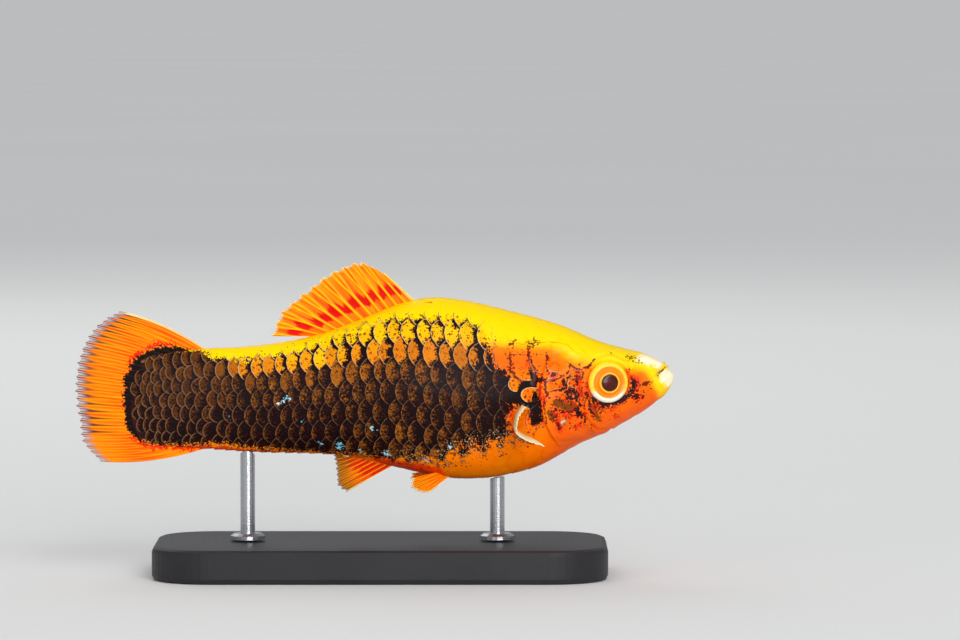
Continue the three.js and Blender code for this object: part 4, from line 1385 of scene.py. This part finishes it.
ANAL_FIN = {
    "rays": 9, "columns": 14, "rows": 40, "jag": 0.4, "sunk": 0.9, "branches": 0.22,
    "root": tuple((b, float(belly_line(b))) for b in (42.3, 46, 49.8)),
    "edge": ((49.35, -17.5), (50.7, -16.4), (50.9, -14.9), (51.1, -13.2), (51.45, -11.7)),
    "look": {
        "skin_red": 0.4, "blotch": (-0.5, 1.8), "blotch_strength": 0.9, "olive": 0.88,
        "olive_width": 3.4, "pale_rays": 0.12, "flames": 0.5, "margin": 0.4,
    },
}
PELVIC_FIN = {
    "rays": 6, "columns": 14, "rows": 32, "jag": 0.45, "sunk": 0.7, "branches": 0.25,
    "root": ((33.7, -14.8, 1.4), (34.8, -14.6, 2), (35.8, -14.2, 2.5)),
    "edge": ((36.9, -17.4, 3.2), (38.6, -17.2, 3.9), (39.8, -16.2, 4.5), (39.6, -14.9, 4.7)),
    "look": {"lead_rays": 0.2, "margin": 0.5, "cream_margin": 0.9},
}
PECTORAL_FIN = {
    "rays": 12, "columns": 12, "rows": 44, "jag": 0.5, "sunk": 1.0, "branches": 0.25,
    "cup": (-0.8, 0.3),
    "root": ((21.9, -4.2, 6.7), (22.7, -5.8, 6.6), (22.6, -7.4, 6.2)),
    "edge": (
        (22, -3.6, 14.4), (23.4, -5.2, 16.4), (23.7, -7.2, 16.8), (21.8, -8.6, 15.6),
        (19.4, -9.6, 13.6),
    ),
    "look": {"lead_rays": 0.4, "margin": 3.5, "clear_margin": 0.0, "cream_margin": 1.0},
}
MIDDLE_FINS = {"dorsal_fin": DORSAL_FIN, "caudal_fin": CAUDAL_FIN, "anal_fin": ANAL_FIN}
PAIRED_FINS = {"pelvic_fin": PELVIC_FIN, "pectoral_fin": PECTORAL_FIN}
MIDDLE_FIN_SEED, PAIRED_FIN_SEED = 3, 20
# The plain look, in strengths from 0 to 1. The margin and the olive are widths in millimetres, the
# blotch two distances from the root, lead_rays counts the pale front rays, and dark_from is the ray
# round which the dark lines are faint
FIN_LOOK = {
    "skin_red": 0.1, "blotch": (0.6, 3.0), "blotch_strength": 0.0, "olive": 0.0,
    "olive_width": 3.0, "dark_lines": 0.25, "dark_from": 0, "dark_tips": 0.0, "flames": 0.2,
    "lead_rays": 0.1, "lead_cream": 0.8, "lead_yellow": 0.3, "pale_rays": 0.0, "margin": 0.7,
    "cream_margin": 0.0, "clear_margin": 0.5, "root_black": 0.0,
}
# Where a ray forks, from the fork to its full spread, as shares of the ray's length
FIRST_FORK, SECOND_FORK = (0.28, 0.8), (0.6, 1.0)
RAY_WIDTH, RAY_TAPER = 0.17, 0.1
THINNING = 0.62
TIP_THICKNESS, TIP_LENGTH = 0.35, 0.5
# The jagged margin: a ray tip's width and its jitter, and how far the skin frays between them
RAY_TIP_WIDTH, RAY_TIP_JITTER, FRAYING = 0.3, 0.2, 0.5
WAVE_HEIGHT, WAVE_TURNS = 0.16, 9.0
MAP_HALF, SECOND_HALF_START = 0.49, 0.505


def ray_heights(across, along, branches):
    """1 on the middle of a ray or of its branches, 0 on the skin between them. Across counts rays."""
    off = across - np.rint(across)
    first = branches * smooth_step(*FIRST_FORK, along)
    second = 0.45 * branches * smooth_step(*SECOND_FORK, along)
    width = RAY_WIDTH - RAY_TAPER * smooth_step(0.1, 0.9, along)
    places = [half * first + quarter * second for half in (-1, 1) for quarter in (-1, 1)]
    return np.maximum.reduce([bump(off - place, width) for place in places])


def make_fin(name, fin, settings, seed, side=LEFT):
    """A fin as one sheet: a thin skin, thick branching rays, and a jagged margin."""
    random = np.random.default_rng(seed)
    rays, rows = fin["rays"], fin["rows"]
    columns = (rays - 1) * fin["columns"]
    clear_selection()
    bpy.ops.mesh.primitive_grid_add(x_subdivisions=columns, y_subdivisions=rows, size=1)
    piece = bpy.context.object
    piece.name = name
    grid = points_of(piece)
    across, along = grid[:, 0] + 0.5, grid[:, 1] + 0.5
    start = curve_points(knots(fin["root"], side), across)
    end = curve_points(knots(fin["edge"], side), across)
    length = np.linalg.norm(end - start, axis=1)
    count = across * (rays - 1)
    off = count - np.rint(count)
    uneven = random.uniform(-1, 1, rays)[np.rint(count).astype(int)]
    fine = random.uniform(-1, 1, columns + 1)[np.rint(across * columns).astype(int)]
    # The share of the way to the edge that the sheet reaches, least between two rays
    full = bump(off, RAY_TIP_WIDTH) * (1 - RAY_TIP_JITTER + RAY_TIP_JITTER * uneven)
    reach = 1 - fin["jag"] / length * (1 - full)
    reach -= (FRAYING * fin["jag"] * fine**2 + FIN_CLEARANCE) / length
    v = -fin["sunk"] / length * (1 - along) + reach * along
    out_share = np.clip(v, 0, 1)
    swell = 4 * v * (1 - v)
    cup_behind, cup_above = fin.get("cup", (0.0, 0.0))
    middle = start + (end - start) * v[:, None]
    middle[:, 0] -= cup_behind * swell
    middle[:, 1] += (fin.get("bow", 0.0) * (1 - 2 * across) + cup_above) * swell
    wave = WAVE_HEIGHT * out_share * np.sin(across * WAVE_TURNS + 1.5 * v)
    if "cup" in fin:
        middle[:, 0] += wave
    else:
        middle[:, 2] += wave * side
    move_points(piece, in_metres(*middle.T))
    heights = ray_heights(count, out_share, fin["branches"])
    rise = (settings.ray - settings.membrane) * heights * (1 - THINNING * out_share)
    tip = (reach - v) * length
    worn = TIP_THICKNESS + (1 - TIP_THICKNESS) * smooth_step(0.0, TIP_LENGTH, tip)
    group = piece.vertex_groups.new(name="thickness")
    for i, weight in enumerate((settings.membrane + rise) * worn / settings.ray):
        group.add([i], float(weight), "REPLACE")
    marks = markings(middle[:, 0], middle[:, 1])
    marks.update(ray=heights, tip=tip, root=v * length, across=count, along=v)
    keep_attributes(piece, marks)
    piece.data.uv_layers[0].name = "OFBake"
    take(piece)
    solid = piece.modifiers.new("thickness", "SOLIDIFY")
    solid.thickness = settings.ray
    solid.offset = 0
    solid.vertex_group = group.name
    bpy.ops.object.modifier_apply(modifier=solid.name)
    split_halves_of_map(piece, columns * rows)
    close_outwards(piece)
    shade(piece)
    return piece


def split_halves_of_map(piece, faces_of_a_side):
    """Lays the two faces of a sheet side by side in its bake map."""
    layer = piece.data.uv_layers["OFBake"]
    places = np.empty(len(piece.data.loops) * 2, np.float32)
    layer.uv.foreach_get("vector", places)
    places = places.reshape(-1, 2)
    places[:, 0] *= MAP_HALF
    places[faces_of_a_side * 4 :, 0] += SECOND_HALF_START
    layer.uv.foreach_set("vector", places.ravel())


def fin_finish(name, settings, look):
    """Amber rays on an orange skin, redder near the root, worn pale and grey at the margin."""
    finish = Finish(name)
    fins, coat = settings.fins, settings.coat
    look = SimpleNamespace(**{**FIN_LOOK, **look})
    names = ("ray", "tip", "root", "across", "along")
    ray, tip, root, count, along = map(finish.attribute, names)
    place = finish.place()
    blotches = finish.noise(place, 700, 2)
    grain = finish.noise(place, 3200, 2)
    streaks = finish.streaks(count * 1.9, along * 1.2)
    # Red flames along the skin, and a row of red blotches between the rays
    flames = (finish.streaks(count * 2.3, along * 1.4, 5.0) + 0.02).step(0.0, 0.14)
    flames = flames * (1 - ray * 0.7) * along.step(0.15, 0.4)
    uneven = finish.streaks(count * 0.8, detail=1) + 0.62
    low, high = look.blotch
    far = root + streaks * 5 - uneven * 2.4 - high
    near = (root + streaks * 2.5 - uneven * 0.6 - low).step(0.0, 0.4) * (1 - far.step(-0.5, 0.4))
    blotch = (1 - ray).step(0.35, 0.8) * near * uneven.step(0.2, 0.45) * look.blotch_strength
    olive = 1 - (tip + streaks * 2.4).step(0.2, look.olive_width)
    # Thin dark lines half way between two rays, and dark skin between their tips
    wave = (count * math.pi).sine()
    between = wave * wave
    thin_dark = between.step(0.78, 0.96) * (streaks + 0.12).step(-0.1, 0.1)
    outer = abs(count - look.dark_from).step(2.0, 6.0) * 0.7 + 0.3
    outer = outer * (1 - (tip + streaks * 3).step(1.5, 6.0))
    dark_tips = between.step(0.3, 0.9) * (1 - (tip + streaks * 2).step(0.6, 3.0))
    lead = 1 - (count - look.lead_rays).step(0.0, 0.2)
    margin = 1 - (tip + streaks * 1.2 * look.margin).step(0.15 * look.margin, look.margin)
    tips = (1 - tip.step(0.0, 0.9 * look.margin)) * ray
    # The black of the tail root with its red fringe
    black = (finish.attribute("black") + blotches * 1.0 + grain * 2.0 + ray * 0.25).step(-0.05, 0.12)
    fringe = (finish.attribute("red") + blotches * 1.6 + grain * 2.6).step(-0.05, 0.25)
    colour = finish.painted(
        finish.mix((streaks * 2.4 + 0.45).step(0.0, 1.0), fins.orange, fins.amber),
        (look.skin_red, fins.red),
        (flames * look.flames, fins.red),
        (ray * 0.8, fins.amber),
        (blotch, fins.red),
        (olive * look.olive * (1 - ray * 0.4), fins.olive),
        (ray.step(0.6, 1.0) * look.pale_rays, coat.yellow),
        (thin_dark * outer * look.dark_lines, coat.brown),
        (dark_tips * look.dark_tips, fins.margin),
        (lead * look.lead_cream, finish.mix(look.lead_yellow, fins.cream, coat.yellow)),
        (margin * 0.85, finish.mix(look.cream_margin, fins.margin, fins.cream)),
        (tips * 0.9, finish.mix(look.cream_margin, fins.tip, fins.cream)),
        (black * look.root_black, coat.black),
        (fringe * look.root_black * (1 - black), coat.red),
    )
    finish.surface(
        Base_Color=colour,
        Roughness=0.48 + grain * 0.2,
        Alpha=1 - (1 - tip.step(0.0, look.margin * 1.1)) * (1 - ray) * look.clear_margin,
        Specular_IOR_Level=0.05,
        Coat_Weight=0.02,
        Coat_Roughness=0.2,
        Subsurface_Weight=0.3,
        Subsurface_Radius=(1.0, 0.45, 0.15),
        Subsurface_Scale=0.0008,
    )
    joints = (root * 22 + grain * 2).sine() * ray
    finish.relief(joints * 0.4 + grain * 0.8, 0.00003, 0.6)
    return finish.material


class SWORDTAIL_OT_middle_fins(bpy.types.Operator):
    """The dorsal, caudal and anal fins."""

    bl_idname = "swordtail.middle_fins"
    bl_label = "Dorsal, caudal and anal fins"

    def execute(self, context):
        settings = context.scene.swordtail
        for seed, (node, fin) in enumerate(MIDDLE_FINS.items()):
            piece = make_fin(f"{node}_sheet", fin, settings.fins, MIDDLE_FIN_SEED + seed)
            finish = fin_finish(node.replace("_", " "), settings, fin["look"])
            settle(piece, finish, "fin", node)
        return {"FINISHED"}


class SWORDTAIL_OT_paired_fins(bpy.types.Operator):
    """The pelvic and pectoral fins of both sides."""

    bl_idname = "swordtail.paired_fins"
    bl_label = "Pelvic and pectoral fins"

    def execute(self, context):
        settings = context.scene.swordtail
        for seed, (kind, fin) in enumerate(PAIRED_FINS.items()):
            finish = fin_finish(kind.replace("_", " "), settings, fin["look"])
            for side, side_name in ((LEFT, "left"), (RIGHT, "right")):
                node = f"{kind}_{side_name}"
                own_seed = PAIRED_FIN_SEED + 2 * seed + side
                piece = make_fin(f"{node}_sheet", fin, settings.fins, own_seed, side)
                settle(piece, finish, "fin", node)
        return {"FINISHED"}


# Eyes
EYE_SEGMENTS = 96
# Grooves and rings of the eye's front, as (depth, place, width) in shares of its radius
EYE_GROOVES = ((0.3, 0.64, 0.12), (-0.05, 0.47, 0.035), (0.1, 0.425, 0.03), (-0.06, 0, 0.35))


def eye_finish(eyes):
    """Rings round the pupil: a thin gold one, the orange iris, a yellow outer ring, white below."""
    finish = Finish("eye")
    radius, height, turn = map(finish.attribute, ("from_pupil", "eye_up", "eye_turn"))
    fibres = finish.streaks(turn * 9.0, radius * 2.2, detail=3)
    grain = finish.noise(finish.place(), 2600, 3)
    wobble = radius + grain * 0.02
    rings = finish.ramp(
        wobble,
        (0.0, eyes.pupil), (0.4, eyes.pupil), (0.445, eyes.inner), (0.48, eyes.inner),
        (0.53, eyes.iris), (0.76, eyes.iris), (0.83, eyes.outer), (1.0, eyes.outer),
    )
    streaky = (fibres * 1.6 + 0.3).step(0.0, 1.0) * wobble.step(0.46, 0.54)
    white = wobble.step(0.74, 0.8) * (0.1 - height + fibres * 0.4).step(0.35, 0.75)
    mottle = (1 - wobble.step(0.38, 0.42)) * (grain + 0.1).step(0.0, 0.3)
    colour = finish.painted(
        rings,
        (streaky * 0.3, display(214, 84, 8)),
        (white, eyes.white),
        (mottle * 0.5, display(108, 30, 16)),
    )
    finish.surface(
        Base_Color=colour,
        Roughness=0.3 + grain * 0.1,
        Specular_IOR_Level=0.1,
        Coat_Weight=0.3,
        Coat_Roughness=0.04,
    )
    finish.relief(fibres * 0.6, 0.00004, 0.5)
    return finish.material


class SWORDTAIL_OT_eyes(bpy.types.Operator):
    """Both eyes, each a closed ball with a sunk iris, a fine ring and a domed pupil."""

    bl_idname = "swordtail.eyes"
    bl_label = "Eyes"

    def execute(self, context):
        finish = eye_finish(context.scene.swordtail.eyes)
        cos, sin = math.cos(EYE_TURN), math.sin(EYE_TURN)
        for side, name in ((LEFT, "left"), (RIGHT, "right")):
            clear_selection()
            bpy.ops.mesh.primitive_uv_sphere_add(
                segments=EYE_SEGMENTS, ring_count=EYE_SEGMENTS, radius=1
            )
            piece = context.object
            piece.name = f"eye_{name}_ball"
            along, up, out = points_of(piece).T
            radius = np.hypot(along, up)
            front = out > 0
            height = np.where(front, EYE_BULGE * out - ridges(radius, EYE_GROOVES), EYE_DEPTH * out)
            place_behind = EYE_PLACE[0] + along * EYE_RADIUS * cos - height * sin
            place_out = EYE_OUT + height * cos + along * EYE_RADIUS * sin
            place_above = EYE_PLACE[1] + up * EYE_RADIUS
            move_points(piece, in_metres(place_behind, place_above, place_out * side))
            rings = np.where(front, radius, 1)
            turn = np.arctan2(up, along)
            keep_attributes(piece, {"from_pupil": rings, "eye_up": up, "eye_turn": turn})
            close_outwards(piece)
            shade(piece)
            settle(piece, finish, "eye", f"eye_{name}")
        return {"FINISHED"}


# Stand
def base_finish(studio):
    finish = Finish("base lacquer")
    place = finish.place()
    cloud = finish.noise(place, 60, 4)
    grain = finish.noise(place, 2400, 3)
    finish.surface(
        Base_Color=finish.mix((cloud + 0.5).step(0.2, 0.8) * 0.35, studio.base, display(58, 57, 60)),
        Roughness=0.5 + grain * 0.2 + cloud * 0.1,
        Specular_IOR_Level=0.2,
        Coat_Weight=0.03,
    )
    finish.relief(grain, 0.00006, 0.35)
    return finish.material


def rod_finish(studio):
    finish = Finish("brushed rod")
    place = finish.place()
    lines = finish.noise(finish.stretched(place, (1, 1, 40)), 300, 3)
    cloud = finish.noise(place, 200, 2)
    finish.surface(
        Base_Color=finish.mix((lines + 0.5).step(0.3, 0.8) * 0.3, studio.rod, display(140, 142, 146)),
        Metallic=1.0,
        Roughness=0.3 + lines * 0.3 + cloud * 0.1,
    )
    finish.relief(lines, 0.00003, 0.4)
    return finish.material


class SWORDTAIL_OT_stand(bpy.types.Operator):
    """Finishes of the stand's base and rods."""

    bl_idname = "swordtail.stand"
    bl_label = "Stand"

    def execute(self, context):
        studio = context.scene.swordtail.studio
        rod = rod_finish(studio)
        finishes = {"base": base_finish(studio), "rod_front": rod, "rod_rear": rod}
        for name, finish in finishes.items():
            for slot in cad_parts[f"stand_{name}"].material_slots:
                slot.material = finish
        return {"FINISHED"}


# Studio
FLOOR_SIZE = 120
# Name, place, size, power and spread in degrees
LAMPS = (
    ("key", (0.3, -0.6, 0.7), 0.45, 1.0, 180),
    ("fill", (-0.6, -0.7, 0.3), 0.5, 0.7, 180),
    ("low", (0.1, -0.75, 0.04), 0.35, 0.82, 90),
    ("rim", (-0.2, 0.6, 0.6), 0.5, 1.2, 180),
)
SUN_TURN = (math.radians(64), 0, math.radians(16))
SUN_SOFTNESS = math.radians(30)
SUN_STRENGTH = 1.05
SKY_STRENGTH = 0.52
VIEW_CENTRE = (0.0159, 0.0, 0.03825)
VIEW_WIDTH = 0.144
SENSOR_WIDTH = 36.0
CAMERA_CLIP = (0.01, 200)


class SWORDTAIL_OT_studio(bpy.types.Operator):
    """A plain floor, soft lamps and the camera."""

    bl_idname = "swordtail.studio"
    bl_label = "Studio"

    def execute(self, context):
        studio = context.scene.swordtail.studio
        self.make_floor(context, studio)
        self.make_light(context.scene, studio)
        self.make_camera(context.scene, studio)
        context.scene.view_settings.view_transform = "Standard"
        return {"FINISHED"}

    @staticmethod
    def place(scene, name, data, location, turn):
        """Puts a lamp or the camera in the scene."""
        holder = bpy.data.objects.new(name, data)
        holder.location = location
        holder.rotation_euler = turn
        scene.collection.objects.link(holder)
        return holder

    def make_floor(self, context, studio):
        clear_selection()
        bpy.ops.mesh.primitive_plane_add(size=FLOOR_SIZE, location=(0, 0, 0))
        floor = context.object
        floor.name = "floor"
        finish = Finish("floor")
        cloud = finish.noise(finish.place(), 3, 3)
        colour = finish.mix((cloud + 0.5) * 0.3, studio.floor, display(224, 224, 222))
        finish.surface(Base_Color=colour, Roughness=0.85 + cloud * 0.1, Specular_IOR_Level=0.0)
        floor.data.materials.append(finish.material)

    def make_light(self, scene, studio):
        for name, place, size, power, spread in LAMPS:
            lamp = bpy.data.lights.new(name, "AREA")
            lamp.size = size
            lamp.spread = math.radians(spread)
            lamp.energy = power * studio.light
            run, away, rise = np.array(VIEW_CENTRE) - place
            tilt = QUARTER + math.atan2(rise, math.hypot(run, away))
            self.place(scene, name, lamp, place, (tilt, 0, math.atan2(away, run) - QUARTER))
        sun = bpy.data.lights.new("sky_light", "SUN")
        sun.energy = SUN_STRENGTH * studio.light
        sun.angle = SUN_SOFTNESS
        self.place(scene, "sky_light", sun, (0, 0, 0), SUN_TURN)
        scene.world = bpy.data.worlds.new("studio")
        scene.world.use_nodes = True
        sky = scene.world.node_tree.nodes["Background"].inputs
        sky["Color"].default_value = (*display(232, 234, 238), 1)
        sky["Strength"].default_value = SKY_STRENGTH * studio.light

    def make_camera(self, scene, studio):
        camera = bpy.data.cameras.new("camera")
        camera.sensor_width = SENSOR_WIDTH
        camera.lens = SENSOR_WIDTH * studio.distance / VIEW_WIDTH
        camera.clip_start, camera.clip_end = CAMERA_CLIP
        down = studio.elevation
        offset = np.array([0, -math.cos(down), math.sin(down)]) * studio.distance
        turn = (QUARTER - down, 0, 0)
        scene.camera = self.place(scene, "camera", camera, VIEW_CENTRE + offset, turn)


OPERATORS = (
    SWORDTAIL_OT_skin,
    SWORDTAIL_OT_flank_scales,
    SWORDTAIL_OT_middle_fins,
    SWORDTAIL_OT_paired_fins,
    SWORDTAIL_OT_eyes,
    SWORDTAIL_OT_stand,
    SWORDTAIL_OT_studio,
)


class SWORDTAIL_PT_panel(bpy.types.Panel):
    """The sidebar panel that lists the pieces."""

    bl_idname = "SWORDTAIL_PT_panel"
    bl_label = "Swordtail"
    bl_space_type = "VIEW_3D"
    bl_region_type = "UI"
    bl_category = "Swordtail"

    def draw(self, context):
        for operator in OPERATORS:
            self.layout.operator(operator.bl_idname)


CLASSES = (
    SwordtailCoat,
    SwordtailFins,
    SwordtailEyes,
    SwordtailStudio,
    SwordtailSettings,
    *OPERATORS,
    SWORDTAIL_PT_panel,
)


def register():
    for item in CLASSES:
        bpy.utils.register_class(item)
    bpy.types.Scene.swordtail = bpy.props.PointerProperty(type=SwordtailSettings)


def unregister():
    del bpy.types.Scene.swordtail
    for item in reversed(CLASSES):
        bpy.utils.unregister_class(item)


def main():
    register()
    for operator in OPERATORS:
        group, name = operator.bl_idname.split(".")
        getattr(getattr(bpy.ops, group), name)()


if __name__ == "__main__":
    main()
